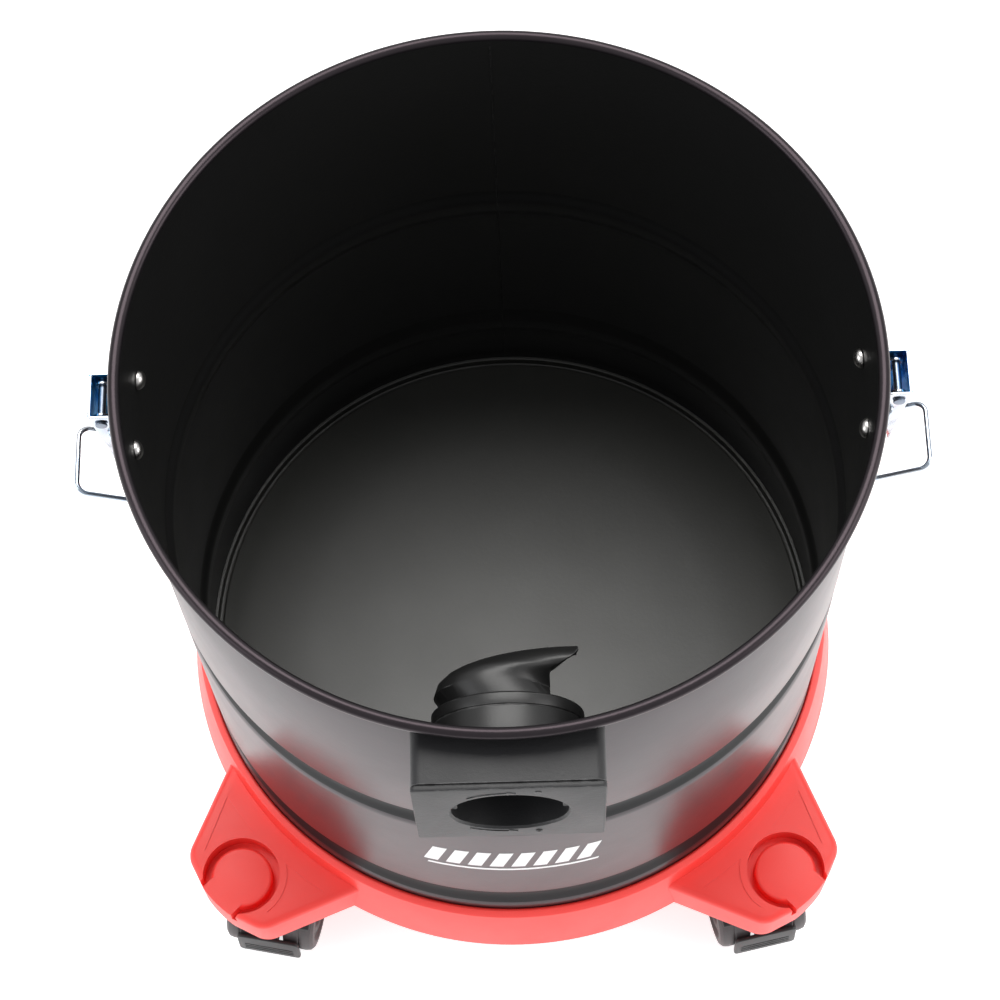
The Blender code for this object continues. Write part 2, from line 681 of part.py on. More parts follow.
def make_bracket(name, parent, side):
    """The plate on the drum with two ears that hold the lever's pin."""
    radius = WALL_RADIUS + GAP + BRACKET_SHEET
    samples = 6
    rows = []
    for z in (PIN_Z - BRACKET_LOW, PIN_Z - BRACKET_HIGH):
        row = []
        for i in range(samples + 1):
            y = BRACKET_HALF_WIDTH * (2 * i / samples - 1)
            row.append((math.sqrt(radius ** 2 - y ** 2), y, z))
        rows.append(row)
    bracket = sheet(name, rows, BRACKET_SHEET, parent=parent)
    ear = arc((PIN_X, PIN_Z), EAR_RADIUS, 150, -60, 8)
    root = radius - BRACKET_SHEET / 2
    ear += [(root, PIN_Z - BRACKET_LOW + EAR_RADIUS), (root, PIN_Z - BRACKET_HIGH - EAR_RADIUS)]
    inner = lever_half_width(PIN_Z) - LEVER_SHEET - BRACKET_SHEET - 5 * GAP
    upright = Matrix.Rotation(math.radians(90), 4, "X")
    for sign in (-1, 1):
        near = sign * inner
        far = sign * (inner + BRACKET_SHEET)
        plate = prism("ear", ear, -max(near, far), -min(near, far), collection=CUTTERS, parent=parent,
                      place=upright)
        combine(bracket, plate, "UNION")
    bore = cylinder("ear_hole", LATCH_PIN_RADIUS + GAP, -LEVER_HALF_WIDTH * 2, LEVER_HALF_WIDTH * 2, steps=16,
                    collection=CUTTERS, parent=parent, place=along_y(x=PIN_X, z=PIN_Z))
    combine(bracket, bore)
    for place in rivet_places(side):
        place = place @ along_x(WALL_RADIUS - WALL_RADIUS / 20, z=RIVET_Z)
        hole = cylinder("plate_hole", RIVET_SHANK + GAP, 0, WALL_RADIUS / 10, steps=12,
                        collection=CUTTERS, place=place)
        combine(bracket, hole)
    return finish(bracket, ZINC)


def make_rivet(name, place):
    """A rivet with its dome inside the drum."""
    dome_start = INNER_FLAT - 2 * GAP
    head_start = WALL_RADIUS + 2 * GAP + BRACKET_SHEET
    head = RIVET_SHANK * 1.7
    dome = arc((0, 0), 1, 0, -90, 4)
    profile = [
        (0, head_start + LEVER_SHEET),
        (head, head_start + LEVER_SHEET),
        (head, head_start),
        (RIVET_SHANK, head_start),
        (RIVET_SHANK, dome_start),
    ]
    profile += [(RIVET_DOME * x, dome_start + RIVET_DOME_HEIGHT * y) for x, y in dome]
    rivet = turned(name, profile, 10, closed=False, place=place @ along_x(z=RIVET_Z))
    return finish(rivet, STEEL)


def bail_path():
    """The bail's wire in the frame of its pivot: one end, arm, hook, bar, hook, arm, end."""
    end = lever_half_width(BAIL_Z) - LEVER_SHEET - 2 * GAP
    arm = lever_half_width(BAIL_Z) + GAP + 1.2 * BAIL_WIRE
    wall = math.sqrt(WALL_RADIUS ** 2 - BAIL_HALF_WIDTH ** 2)
    low = wall + 1.5 * BAIL_WIRE + GAP - BAIL_X
    half = [
        Vector((0, end, 0)),
        Vector((0, arm, 0)),
        Vector((low, BAIL_HALF_WIDTH, -BAIL_ARM)),
        Vector((low + BAIL_HOOK, BAIL_HALF_WIDTH, -BAIL_ARM + BAIL_HOOK_RISE)),
    ]
    mirrored = [Vector((p.x, -p.y, p.z)) for p in reversed(half)]
    ends = half[:2]
    corners = half[2:] + mirrored[:2]
    start = rounded([ends[0], ends[1], (ends[1] + corners[0]) / 2], BAIL_WIRE * 1.6, 3)
    body = rounded([start[-1]] + corners + [(mirrored[1] + mirrored[2]) / 2], BAIL_CORNER, 4)
    finish_end = [Vector((p.x, -p.y, p.z)) for p in reversed(start)]
    return start[:-1] + body + finish_end[1:]


def make_latch(side, label):
    """One side latch, its frame turned so that +X points away from the drum."""
    place = Matrix.Rotation(0 if side > 0 else math.pi, 4, "Z")
    latch = frame(f"latch_{label}", place)
    make_bracket(f"latch_bracket_{label}", latch, side)
    make_latch_pin(f"latch_pin_{label}", latch)
    lever_frame = frame(f"lever_axis_{label}", Matrix.Translation((PIN_X, 0, PIN_Z)), latch)
    make_lever(f"latch_lever_{label}", lever_frame)
    pivot = Matrix.Translation((BAIL_X, 0, BAIL_Z))
    bail = wire(f"latch_bail_{label}", bail_path(), BAIL_WIRE, ZINC, parent=latch, place=pivot)
    for i, rivet_place in enumerate(rivet_places(side)):
        make_rivet(f"latch_rivet_{label}_{i + 1}", rivet_place)
    return bail


def arm_outline(inset=0.0, nose_inset=0.0):
    """Half-symmetric outline of an arm along +X, as (x, y)."""
    end_half = ARM_END_HALF - inset
    nose = ARM_NOSE - inset - nose_inset
    end = ARM_END - inset - nose_inset
    sagitta = nose - end
    radius = (end_half ** 2 + sagitta ** 2) / (2 * sagitta)
    spread = math.degrees(math.asin(end_half / radius))
    front = arc((nose - radius, 0), radius, -spread, spread, 6)
    first = Vector((ARM_ROOT, -ARM_ROOT_HALF + inset, 0))
    last = Vector((ARM_ROOT, ARM_ROOT_HALF - inset, 0))
    path = [first] + [Vector((x, y, 0)) for x, y in front] + [last]
    corner_low = rounded([path[0], path[1], path[3]], ARM_CORNER - inset, 3)[1:-1]
    corner_high = rounded([path[-4], path[-2], path[-1]], ARM_CORNER - inset, 3)[1:-1]
    points = [first] + corner_low + path[4:-4] + corner_high + [last]
    return [(p.x, p.y) for p in points]


def tongue_outline(radius):
    """A circle round the tongue's centre with a straight neck past the nose."""
    past = ARM_NOSE + ARM_CORNER
    neck = radius * math.sin(math.radians(TONGUE_NECK))
    points = arc((TONGUE_CENTRE, 0), radius, TONGUE_NECK, 360 - TONGUE_NECK, 16)
    return [(past, neck)] + points + [(past, -neck)]


def make_arm(number, angle):
    """A helper solid: one arm with its slot, tongue, underside pocket and stem boss."""
    turn = Matrix.Rotation(angle, 4, "Z")
    where = {"collection": CUTTERS, "place": turn}
    arm = helper(prism(f"arm_{number}", arm_outline(), TROLLEY_SKIRT_LOW, ARM_TOP, **where))
    bevel = arm.modifiers.new("top_edge", "BEVEL")
    bevel.width = ARM_CHAMFER
    bevel.segments = 2
    bevel.limit_method = "WEIGHT"
    weights = arm.data.attributes.new("bevel_weight_edge", "FLOAT", "EDGE")
    for edge in arm.data.edges:
        ends = [arm.data.vertices[i].co for i in edge.vertices]
        on_top = min(ends[0].z, ends[1].z) > ARM_TOP - GAP
        free = max(ends[0].x, ends[1].x) > ARM_ROOT + GAP
        weights.data[edge.index].value = 1.0 if on_top and free else 0.0
    above = ARM_TOP + SLOT_DEPTH
    slot = prism("slot", tongue_outline(TONGUE_RADIUS + SLOT_WIDTH), ARM_TOP - SLOT_DEPTH, above, **where)
    tongue = tongue_outline(TONGUE_RADIUS)
    tongue_top = ARM_TOP - TONGUE_SINK
    combine(slot, prism("tongue", tongue, ARM_TOP - 2 * SLOT_DEPTH, tongue_top, **where))
    combine(arm, slot)
    top = prism("tongue_top", tongue, tongue_top, above, **where)
    combine(arm, top)
    pocket = prism("pocket", arm_outline(POCKET_WALL), TROLLEY_SKIRT_LOW - POCKET_DEPTH,
                   TROLLEY_SKIRT_LOW + POCKET_DEPTH, **where)
    boss_place = turn @ Matrix.Translation((CASTER_RADIUS, 0, 0))
    boss = cylinder("boss", BOSS_RADIUS, 0, 2 * TROLLEY_SKIRT_LOW, steps=24, collection=CUTTERS,
                    place=boss_place)
    combine(pocket, boss)
    combine(arm, pocket)
    combine(arm, cylinder("arm_trim", (BAND_INNER + TROLLEY_SKIRT_RADIUS) / 2, 0, RIM_HEIGHT,
                          steps=TURN_STEPS, collection=CUTTERS))
    return arm


def make_trolley():
    """The ring under the drum, with its four arms joined on."""
    shoulder = BAND_INNER + TROLLEY_BAND
    ledge = DRUM_BOTTOM - GAP
    skirt_inner = TROLLEY_SKIRT_RADIUS - TROLLEY_WALL
    band_outer = BAND_INNER + TROLLEY_WALL
    profile = [
        (BAND_INNER, TROLLEY_TOP),
        (shoulder, TROLLEY_TOP - TROLLEY_SHOULDER),
        (TROLLEY_SKIRT_RADIUS, TROLLEY_SKIRT_LOW),
        (skirt_inner, TROLLEY_SKIRT_LOW),
        (band_outer, TROLLEY_TOP - 3 * TROLLEY_WALL),
        (band_outer, ledge - TROLLEY_WALL),
        (TROLLEY_LEDGE_RADIUS, ledge - TROLLEY_WALL),
        (TROLLEY_LEDGE_RADIUS, ledge),
        (BAND_INNER, ledge),
    ]
    trolley = turned("trolley_base", profile, TURN_STEPS)
    for number, angle in enumerate(arm_angles()):
        combine(trolley, make_arm(number + 1, angle), "UNION")
    for angle in arm_angles():
        place = Matrix.Rotation(angle, 4, "Z") @ Matrix.Translation((CASTER_RADIUS, 0, 0))
        bore = cylinder("stem_hole", STEM_RADIUS + GAP, 0, STEM_TOP + GAP, steps=16, collection=CUTTERS,
                        place=place)
        combine(trolley, bore)
    return finish(trolley, RED_PLASTIC)


def arm_angles():
    """Front right, front left, rear left, rear right."""
    return [math.radians(a + TROLLEY_TURN) for a in (-45, -135, 135, 45)]


def make_wheel(name, parent, side):
    """One wheel of a pair, its axis along Y, its dished face outwards. It stands on a flat facet."""
    rim = WHEEL_RADIUS / math.cos(math.pi / SMALL_STEPS)
    face = WHEEL_WIDTH
    bore = AXLE_RADIUS + GAP
    profile = [
        (0, face * 0.86),
        (rim * 0.38, face * 0.86),
        (rim * 0.46, face * 0.96),
        (rim * 0.80, face),
        (rim * 0.95, face * 0.92),
        (rim, face * 0.72),
        (rim, face * 0.15),
        (rim * 0.95, 0),
        (bore, 0),
        (bore, face - AXLE_CAP),
        (0, face - AXLE_CAP),
    ]
    turn = Matrix.Rotation(math.radians(-90 * side), 4, "X") @ Matrix.Rotation(math.pi / SMALL_STEPS, 4, "Z")
    place = Matrix.Translation((TRAIL, side * WHEEL_GAP / 2, WHEEL_RADIUS)) @ turn
    return finish(turned(name, profile, SMALL_STEPS, closed=False, parent=parent, place=place), TYRE)


def make_axle(name, parent):
    reach = WHEEL_GAP / 2 + WHEEL_WIDTH - AXLE_CAP - GAP
    place = along_y(x=TRAIL, z=WHEEL_RADIUS)
    return finish(cylinder(name, AXLE_RADIUS, -reach, reach, steps=12, parent=parent, place=place), STEEL)


def make_stem(name, parent):
    return finish(cylinder(name, STEM_RADIUS, STEM_FOOT, STEM_TOP, steps=16, parent=parent), STEEL)


def make_fork(name, parent, braked):
    """A caster's body: the web between its wheels, a hood over them and the swivel boss."""
    upright = Matrix.Rotation(math.radians(90), 4, "X")
    top = TROLLEY_SKIRT_LOW - GAP
    centre = (TRAIL, WHEEL_RADIUS)
    hood_inner = WHEEL_RADIUS + HOOD_GAP
    hood_outer = hood_inner + HOOD_WALL
    web = arc(centre, FORK_BOSS, -150, 10, 5)
    web += arc(centre, hood_outer - HOOD_WALL / 2, HOOD_START, HOOD_END - 15, 8)
    fork = prism(name, web, -WEB_WIDTH / 2, WEB_WIDTH / 2, parent=parent, place=upright)
    hood = arc(centre, hood_outer, HOOD_START, HOOD_END, 9)
    hood += arc(centre, hood_inner, HOOD_END, HOOD_START, 9)
    where = {"collection": CUTTERS, "parent": parent}
    combine(fork, prism("hood", hood, -HOOD_WIDTH / 2, HOOD_WIDTH / 2, place=upright, **where), "UNION")
    combine(fork, cylinder("swivel", SWIVEL_RADIUS, top - SWIVEL_HEIGHT, top, steps=24, **where), "UNION")
    if braked:
        lug = [(TRAIL, PEDAL_PIN_HEIGHT - CHEEK_HEIGHT), (PEDAL_PIN_REACH, PEDAL_PIN_HEIGHT - CHEEK_HEIGHT)]
        lug += arc((PEDAL_PIN_REACH, PEDAL_PIN_HEIGHT), CHEEK_HEIGHT, -60, 90, 5)
        lug += [(TRAIL, PEDAL_PIN_HEIGHT + CHEEK_HEIGHT)]
        half = LUG_THICKNESS / 2
        combine(fork, prism("lug", lug, -half, half, place=upright, **where), "UNION")
        clear = CHEEK_HEIGHT + 2 * GAP
        room_low = (PEDAL_PIN_REACH - clear - 2 * GAP, PEDAL_PIN_HEIGHT - 4 * clear)
        room_high = (PEDAL_PIN_REACH + 2 * clear, PEDAL_PIN_HEIGHT + 2 * clear)
        for sign in (-1, 1):
            near = sign * LUG_THICKNESS / 2
            far = sign * WEB_WIDTH
            room = box("pedal_room", (room_low[0], min(near, far), room_low[1]),
                       (room_high[0], max(near, far), room_high[1]), **where)
            combine(fork, room)
        pin_hole = cylinder("pin_hole", PEDAL_PIN_RADIUS + GAP, -WEB_WIDTH, WEB_WIDTH, steps=12,
                            place=along_y(x=PEDAL_PIN_REACH, z=PEDAL_PIN_HEIGHT), **where)
        combine(fork, pin_hole)
    stem_hole = cylinder("stem_seat", STEM_RADIUS + GAP, STEM_FOOT - GAP, 2 * top, steps=16, **where)
    combine(fork, stem_hole)
    axle_hole = cylinder("axle_hole", AXLE_RADIUS + GAP, -WEB_WIDTH, WEB_WIDTH, steps=12,
                         place=along_y(x=TRAIL, z=WHEEL_RADIUS), **where)
    combine(fork, axle_hole)
    return finish(fork, BLACK_PLASTIC)


def make_pedal(name, pin_name, parent):
    """The brake pedal and its pin. The pedal's frame stands on the pin's axis."""
    axis = frame(f"{name}_axis", Matrix.Translation((PEDAL_PIN_REACH, 0, PEDAL_PIN_HEIGHT)), parent)
    face = PEDAL_REACH - PEDAL_PIN_REACH
    low = PEDAL_LOW - PEDAL_PIN_HEIGHT
    high = PEDAL_HIGH - PEDAL_PIN_HEIGHT
    pedal = box(name, (face - PEDAL_SHEET / 2, -PEDAL_WIDTH / 2, low),
                (face + PEDAL_SHEET / 2, PEDAL_WIDTH / 2, high), parent=axis)
    bevel = pedal.modifiers.new("edges", "BEVEL")
    bevel.width = PEDAL_SHEET / 4
    bevel.segments = 2
    upright = Matrix.Rotation(math.radians(90), 4, "X")
    cheek = arc((0, 0), CHEEK_HEIGHT, 90, 270, 6)
    cheek += [(face, -CHEEK_HEIGHT * 2.5), (face, high - PEDAL_SHEET / 2)]
    near = LUG_THICKNESS / 2 + GAP
    for sign in (-1, 1):
        ends = sorted((-sign * near, -sign * (near + PEDAL_CHEEK)))
        plate = prism("cheek", cheek, *ends, collection=CUTTERS, parent=axis, place=upright)
        combine(pedal, plate, "UNION")
    bore = cylinder("pedal_hole", PEDAL_PIN_RADIUS + GAP, -WEB_WIDTH, WEB_WIDTH, steps=12,
                    collection=CUTTERS, parent=axis, place=along_y())
    combine(pedal, bore)
    finish(pedal, BLACK_PLASTIC)
    reach = near + PEDAL_CHEEK - GAP
    place = along_y(x=PEDAL_PIN_REACH, z=PEDAL_PIN_HEIGHT)
    pin = cylinder(pin_name, PEDAL_PIN_RADIUS, -reach, reach, steps=10, parent=parent, place=place)
    return finish(pin, STEEL)


def make_caster(label, angle, heading, braked):
    """One twin-wheel caster. Its frame stands on the swivel axis, +X towards the wheels."""
    spot = Vector((math.cos(angle), math.sin(angle), 0)) * CASTER_RADIUS
    place = Matrix.Translation(spot) @ Matrix.Rotation(heading, 4, "Z")
    caster = frame(f"caster_{label}", place)
    make_fork(f"caster_fork_{label}", caster, braked)
    make_stem(f"caster_stem_{label}", caster)
    make_axle(f"caster_axle_{label}", caster)
    make_wheel(f"caster_wheel_{label}_a", caster, -1)
    make_wheel(f"caster_wheel_{label}_b", caster, 1)
    if braked:
        make_pedal(f"brake_pedal_{label}", f"brake_pin_{label}", caster)
    return caster


def make_casters():
    ahead = math.radians(-90)
    front = math.radians(FRONT_HEADING)
    rear = math.radians(REAR_HEADING)
    front_right, front_left, rear_left, rear_right = arm_angles()
    make_caster("front_right", front_right, ahead + front, True)
    make_caster("front_left", front_left, ahead - front, True)
    make_caster("rear_left", rear_left, ahead - rear, False)
    make_caster("rear_right", rear_right, ahead + rear, False)


def main():
    make_drum()
    make_drum_floor()
    make_inlet_housing()
    make_inlet_collar()
    make_inlet_deflector()
    make_inlet_screws()
    make_latch(1, "right")
    make_latch(-1, "left")
    make_trolley()
    make_casters()
    bpy.context.view_layer.update()


main()
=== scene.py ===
"""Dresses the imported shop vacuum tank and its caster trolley, and sets the studio around it.

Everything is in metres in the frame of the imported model: +Z up, the floor at Z = 0 and the hose inlet
towards -Y. Each sub-assembly is a class that builds its own pieces in a local frame and settles them
on their bodies.
"""

import logging
import math
from dataclasses import dataclass
from enum import Enum
from typing import Callable, Optional, Sequence

import bmesh
import bpy
from mathutils import Matrix, Vector

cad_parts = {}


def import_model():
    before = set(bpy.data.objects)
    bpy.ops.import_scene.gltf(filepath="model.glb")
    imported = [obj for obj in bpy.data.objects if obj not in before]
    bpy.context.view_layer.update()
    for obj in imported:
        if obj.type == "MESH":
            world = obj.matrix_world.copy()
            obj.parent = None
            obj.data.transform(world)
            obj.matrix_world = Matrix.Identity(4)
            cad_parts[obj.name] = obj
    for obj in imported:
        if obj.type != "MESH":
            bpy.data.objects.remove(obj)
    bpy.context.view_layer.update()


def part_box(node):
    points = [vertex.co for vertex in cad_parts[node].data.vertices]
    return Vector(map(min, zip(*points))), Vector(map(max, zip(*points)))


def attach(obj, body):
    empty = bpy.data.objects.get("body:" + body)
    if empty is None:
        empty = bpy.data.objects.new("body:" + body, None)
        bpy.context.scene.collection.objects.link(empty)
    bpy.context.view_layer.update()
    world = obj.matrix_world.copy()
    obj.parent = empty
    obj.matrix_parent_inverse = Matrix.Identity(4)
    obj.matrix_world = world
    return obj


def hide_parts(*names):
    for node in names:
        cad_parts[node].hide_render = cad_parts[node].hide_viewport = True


LOG = logging.getLogger("shop_vacuum")
MM = 0.001
FIT = 0.0003
Point = tuple[float, float]
Colour = tuple[float, float, float]


class Slot(Enum):
    """The record's material slots."""

    PAINT = "black_paint"
    BLACK = "black_plastic"
    RED = "red_plastic"
    ZINC = "zinc"
    STEEL = "steel"
    WHEEL = "wheel_plastic"


class Side(Enum):
    """The two latches, with the sign of X that they stand on."""

    RIGHT = 1
    LEFT = -1


# ---------------------------------------------------------------- modelling tools


class Bench:
    """The modelling tools that every sub-assembly uses."""

    @staticmethod
    def clear() -> None:
        """Leaves edit mode and deselects everything."""
        if bpy.context.mode != "OBJECT":
            bpy.ops.object.mode_set(mode="OBJECT")
        bpy.ops.object.select_all(action="DESELECT")

    @staticmethod
    def hold(obj: bpy.types.Object) -> None:
        """Makes one object the only selected one."""
        Bench.clear()
        obj.select_set(True)
        bpy.context.view_layer.objects.active = obj

    @staticmethod
    def edit(obj: bpy.types.Object) -> None:
        """Opens one object in edit mode with nothing selected in it."""
        Bench.hold(obj)
        bpy.ops.object.mode_set(mode="EDIT")
        bpy.ops.mesh.select_all(action="DESELECT")

    @staticmethod
    def made(name: str) -> bpy.types.Object:
        """Names the primitive that was just added and returns it."""
        obj = bpy.context.object
        obj.name = name
        obj.data.name = name
        return obj

    @staticmethod
    def pick(obj: bpy.types.Object, kind: str, test: Callable[[Vector, Vector], bool]) -> int:
        """Selects faces, edges or vertices of the object in edit mode.

        Args:
            obj: the object in edit mode.
            kind: "faces", "edges" or "verts".
            test: takes the element's middle and its normal, or an edge's direction.

        Returns:
            How many were selected.
        """
        mode = {"faces": "FACE", "edges": "EDGE", "verts": "VERT"}[kind]
        bpy.ops.mesh.select_mode(type=mode)
        mesh = bmesh.from_edit_mesh(obj.data)
        count = 0
        for item in getattr(mesh, kind):
            if kind == "faces":
                place, way = item.calc_center_median(), item.normal
            elif kind == "edges":
                ends = [v.co for v in item.verts]
                place, way = (ends[0] + ends[1]) / 2, (ends[1] - ends[0]).normalized()
            else:
                place, way = item.co, item.normal
            if test(place, way):
                item.select_set(True)
                count += 1
        mesh.select_flush_mode()
        bmesh.update_edit_mesh(obj.data)
        return count

    @staticmethod
    def chain(name: str, points: Sequence[Vector]) -> bpy.types.Object:
        """Draws an open line of edges by extruding one vertex from point to point.

        Args:
            name: the object's name.
            points: the corners of the line.

        Returns:
            The object, left in edit mode with its last vertex selected.
        """
        Bench.clear()
        bpy.ops.mesh.primitive_plane_add(size=MM, location=points[0])
        obj = Bench.made(name)
        bpy.ops.object.transform_apply(location=True, rotation=True, scale=True)
        bpy.ops.object.mode_set(mode="EDIT")
        bpy.ops.mesh.select_mode(type="VERT")
        bpy.ops.mesh.select_all(action="SELECT")
        bpy.ops.mesh.merge(type="CENTER")
        for start, end in zip(points, points[1:]):
            bpy.ops.mesh.extrude_region_move(TRANSFORM_OT_translate={"value": Vector(end) - Vector(start)})
        return obj

    @staticmethod
    def join_ends(obj: bpy.types.Object, fill: bool) -> None:
        """Closes the line of edges being edited.

        Args:
            obj: the object in edit mode.
            fill: whether the closed line is filled with a face.
        """
        bpy.ops.mesh.select_all(action="DESELECT")
        mesh = bmesh.from_edit_mesh(obj.data)
        for vert in mesh.verts:
            if len(vert.link_edges) == 1:
                vert.select_set(True)
        bmesh.update_edit_mesh(obj.data)
        bpy.ops.mesh.edge_face_add()
        if fill:
            bpy.ops.mesh.select_all(action="SELECT")
            bpy.ops.mesh.edge_face_add()

    @staticmethod
    def outward() -> None:
        """Merges doubles and points every face of the mesh being edited outwards."""
        bpy.ops.mesh.select_all(action="SELECT")
        bpy.ops.mesh.remove_doubles(threshold=1e-6)
        bpy.ops.mesh.normals_make_consistent(inside=False)

    @staticmethod
    def lathe(name: str, profile: Sequence[Point], steps: int, closed: bool = True) -> bpy.types.Object:
        """Spins a profile of (radius, height) about Z.

        Args:
            name: the object's name.
            profile: points in metres. An open profile starts and ends on the axis.
            steps: facets round the turn.
            closed: whether the last point joins the first.

        Returns:
            The turned object, in object mode.
        """
        obj = Bench.chain(name, [Vector((r, 0, z)) for r, z in profile])
        if closed:
            Bench.join_ends(obj, fill=False)
        bpy.ops.mesh.select_all(action="SELECT")
        bpy.ops.mesh.spin(steps=steps, angle=math.tau, center=(0, 0, 0), axis=(0, 0, 1))
        Bench.outward()
        Bench.clear()
        return obj

    @staticmethod
    def slab(name: str, outline: Sequence[Point], low: float, high: float) -> bpy.types.Object:
        """Extrudes a closed outline upwards.

        Args:
            name: the object's name.
            outline: its corners as (x, y).
            low: the height of its underside.
            high: the height of its top.

        Returns:
            The slab, in object mode.
        """
        obj = Bench.chain(name, [Vector((x, y, low)) for x, y in outline])
        Bench.join_ends(obj, fill=True)
        bpy.ops.mesh.select_all(action="SELECT")
        bpy.ops.mesh.extrude_region_move(TRANSFORM_OT_translate={"value": (0, 0, high - low)})
        Bench.outward()
        Bench.clear()
        return obj

    @staticmethod
    def block(name: str, low: Sequence[float], high: Sequence[float]) -> bpy.types.Object:
        """Adds a cube between two corners.

        Args:
            name: the object's name.
            low: the lowest corner.
            high: the highest corner.

        Returns:
            The block, with its place in its mesh.
        """
        Bench.clear()
        middle = [(a + b) / 2 for a, b in zip(low, high)]
        bpy.ops.mesh.primitive_cube_add(size=1, location=middle, scale=[b - a for a, b in zip(low, high)])
        obj = Bench.made(name)
        bpy.ops.object.transform_apply(location=True, rotation=True, scale=True)
        return obj

    @staticmethod
    def rod(
        name: str, radius: float, start: Sequence[float], end: Sequence[float], steps: int = 32
    ) -> bpy.types.Object:
        """Adds a cylinder between two points.

        Args:
            name: the object's name.
            radius: its radius.
            start: the middle of one end.
            end: the middle of the other end.
            steps: facets round it.

        Returns:
            The cylinder, with its place in its mesh.
        """
        Bench.clear()
        way = Vector(end) - Vector(start)
        turn = way.to_track_quat("Z", "Y").to_euler()
        middle = (Vector(start) + Vector(end)) / 2
        bpy.ops.mesh.primitive_cylinder_add(
            vertices=steps, radius=radius, depth=way.length, location=middle, rotation=turn
        )
        obj = Bench.made(name)
        bpy.ops.object.transform_apply(location=True, rotation=True, scale=True)
        return obj

    @staticmethod
    def wire(name: str, path: Sequence[Vector], radius: float) -> bpy.types.Object:
        """Runs a round wire along a path and makes it a mesh.

        Args:
            name: the object's name.
            path: the points of the wire's middle line.
            radius: the wire's radius.

        Returns:
            The wire, with closed ends.
        """
        curve = bpy.data.curves.new(name, "CURVE")
        curve.dimensions = "3D"
        curve.bevel_depth = radius
        curve.bevel_resolution = 4
        curve.use_fill_caps = True
        spline = curve.splines.new("POLY")
        spline.points.add(len(path) - 1)
        for target, point in zip(spline.points, path):
            target.co = (*point, 1)
        obj = bpy.data.objects.new(name, curve)
        bpy.context.scene.collection.objects.link(obj)
        Bench.hold(obj)
        bpy.ops.object.convert(target="MESH")
        obj = bpy.context.object
        Bench.edit(obj)
        Bench.outward()
        Bench.clear()
        return obj

    @staticmethod
    def modify(obj: bpy.types.Object, kind: str, **settings: object) -> bpy.types.Object:
        """Adds a modifier and applies it.

        Args:
            obj: the object.
            kind: the modifier's type.
            **settings: the modifier's settings.

        Returns:
            The object.
        """
        Bench.hold(obj)
        modifier = obj.modifiers.new(kind.lower(), kind)
        for name, value in settings.items():
            setattr(modifier, name, value)
        bpy.ops.object.modifier_apply(modifier=modifier.name)
        return obj

    @staticmethod
    def cut(obj: bpy.types.Object, tool: bpy.types.Object, operation: str = "DIFFERENCE") -> bpy.types.Object:
        """Cuts, joins or intersects with another object, which is used up.

        Args:
            obj: the object that stays.
            tool: the object that is used up.
            operation: the Boolean's operation.

        Returns:
            The object that stays.
        """
        Bench.modify(obj, "BOOLEAN", operation=operation, solver="EXACT", object=tool)
        bpy.data.objects.remove(tool, do_unlink=True)
        return obj

    @staticmethod
    def bevel(
        obj: bpy.types.Object, width: float, segments: int = 2, angle: float = 35.0
    ) -> bpy.types.Object:
        """Rounds every sharp edge.

        Args:
            obj: the object.
            width: how far each edge is taken back.
            segments: facets across each rounding.
            angle: edges sharper than this are rounded, in degrees.

        Returns:
            The object.
        """
        return Bench.modify(
            obj, "BEVEL", width=width, segments=segments, limit_method="ANGLE",
            angle_limit=math.radians(angle), harden_normals=False, use_clamp_overlap=True,
        )

    @staticmethod
    def merge(obj: bpy.types.Object, *others: bpy.types.Object) -> bpy.types.Object:
        """Joins other objects into the first.

        Args:
            obj: the object that stays.
            *others: the objects that it takes in.

        Returns:
            The object that stays.
        """
        Bench.clear()
        for item in (obj, *others):
            item.select_set(True)
        bpy.context.view_layer.objects.active = obj
        bpy.ops.object.join()
        return obj

    @staticmethod
    def copy(obj: bpy.types.Object, name: str, matrix: Matrix) -> bpy.types.Object:
        """Copies an object with its own mesh.

        Args:
            obj: the object to copy.
            name: the copy's name.
            matrix: how the copy's mesh is moved.

        Returns:
            The copy.
        """
        twin = obj.copy()
        twin.data = obj.data.copy()
        twin.name = name
        twin.data.name = name
        bpy.context.scene.collection.objects.link(twin)
        twin.data.transform(matrix)
        return twin

    @staticmethod
    def smooth(obj: bpy.types.Object, angle: float = 30.0) -> bpy.types.Object:
        """Shades smooth up to an angle in degrees."""
        Bench.hold(obj)
        bpy.ops.object.shade_smooth_by_angle(angle=math.radians(angle))
        return obj


def arc(centre: Point, radius: float, start: float, end: float, steps: int) -> list[Point]:
    """Points on an arc.

    Args:
        centre: the arc's middle.
        radius: its radius.
        start: its first angle, in degrees.
        end: its last angle, in degrees.
        steps: its segments.

    Returns:
        The points, both ends included.
    """
    turns = [math.radians(start + (end - start) * i / steps) for i in range(steps + 1)]
    return [(centre[0] + radius * math.cos(a), centre[1] + radius * math.sin(a)) for a in turns]


def rounded(points: Sequence[Vector], radius: float, steps: int = 6) -> list[Vector]:
    """An open path with each inner corner rounded.

    Args:
        points: the corners.
        radius: the corners' radius.
        steps: segments in each corner.

    Returns:
        The rounded path.
    """
    path = [points[0]]
    for before, corner, after in zip(points, points[1:], points[2:]):
        a = (before - corner).normalized()
        b = (after - corner).normalized()
        half = a.angle(b) / 2
        centre = corner + (a + b).normalized() * (radius / math.sin(half))
        start = corner + a * (radius / math.tan(half)) - centre
        end = corner + b * (radius / math.tan(half)) - centre
        turn = start.angle(end)
        for i in range(steps + 1):
            share = turn * i / steps
            path.append(centre + (start * math.sin(turn - share) + end * math.sin(share)) / math.sin(turn))
    path.append(points[-1])
    return path


def rounded_profile(points: Sequence[Point], radius: float, steps: int = 3) -> list[Point]:
    """A profile of (radius, height) with its inner corners rounded."""
    return [(p.x, p.z) for p in rounded([Vector((r, 0, z)) for r, z in points], radius, steps)]


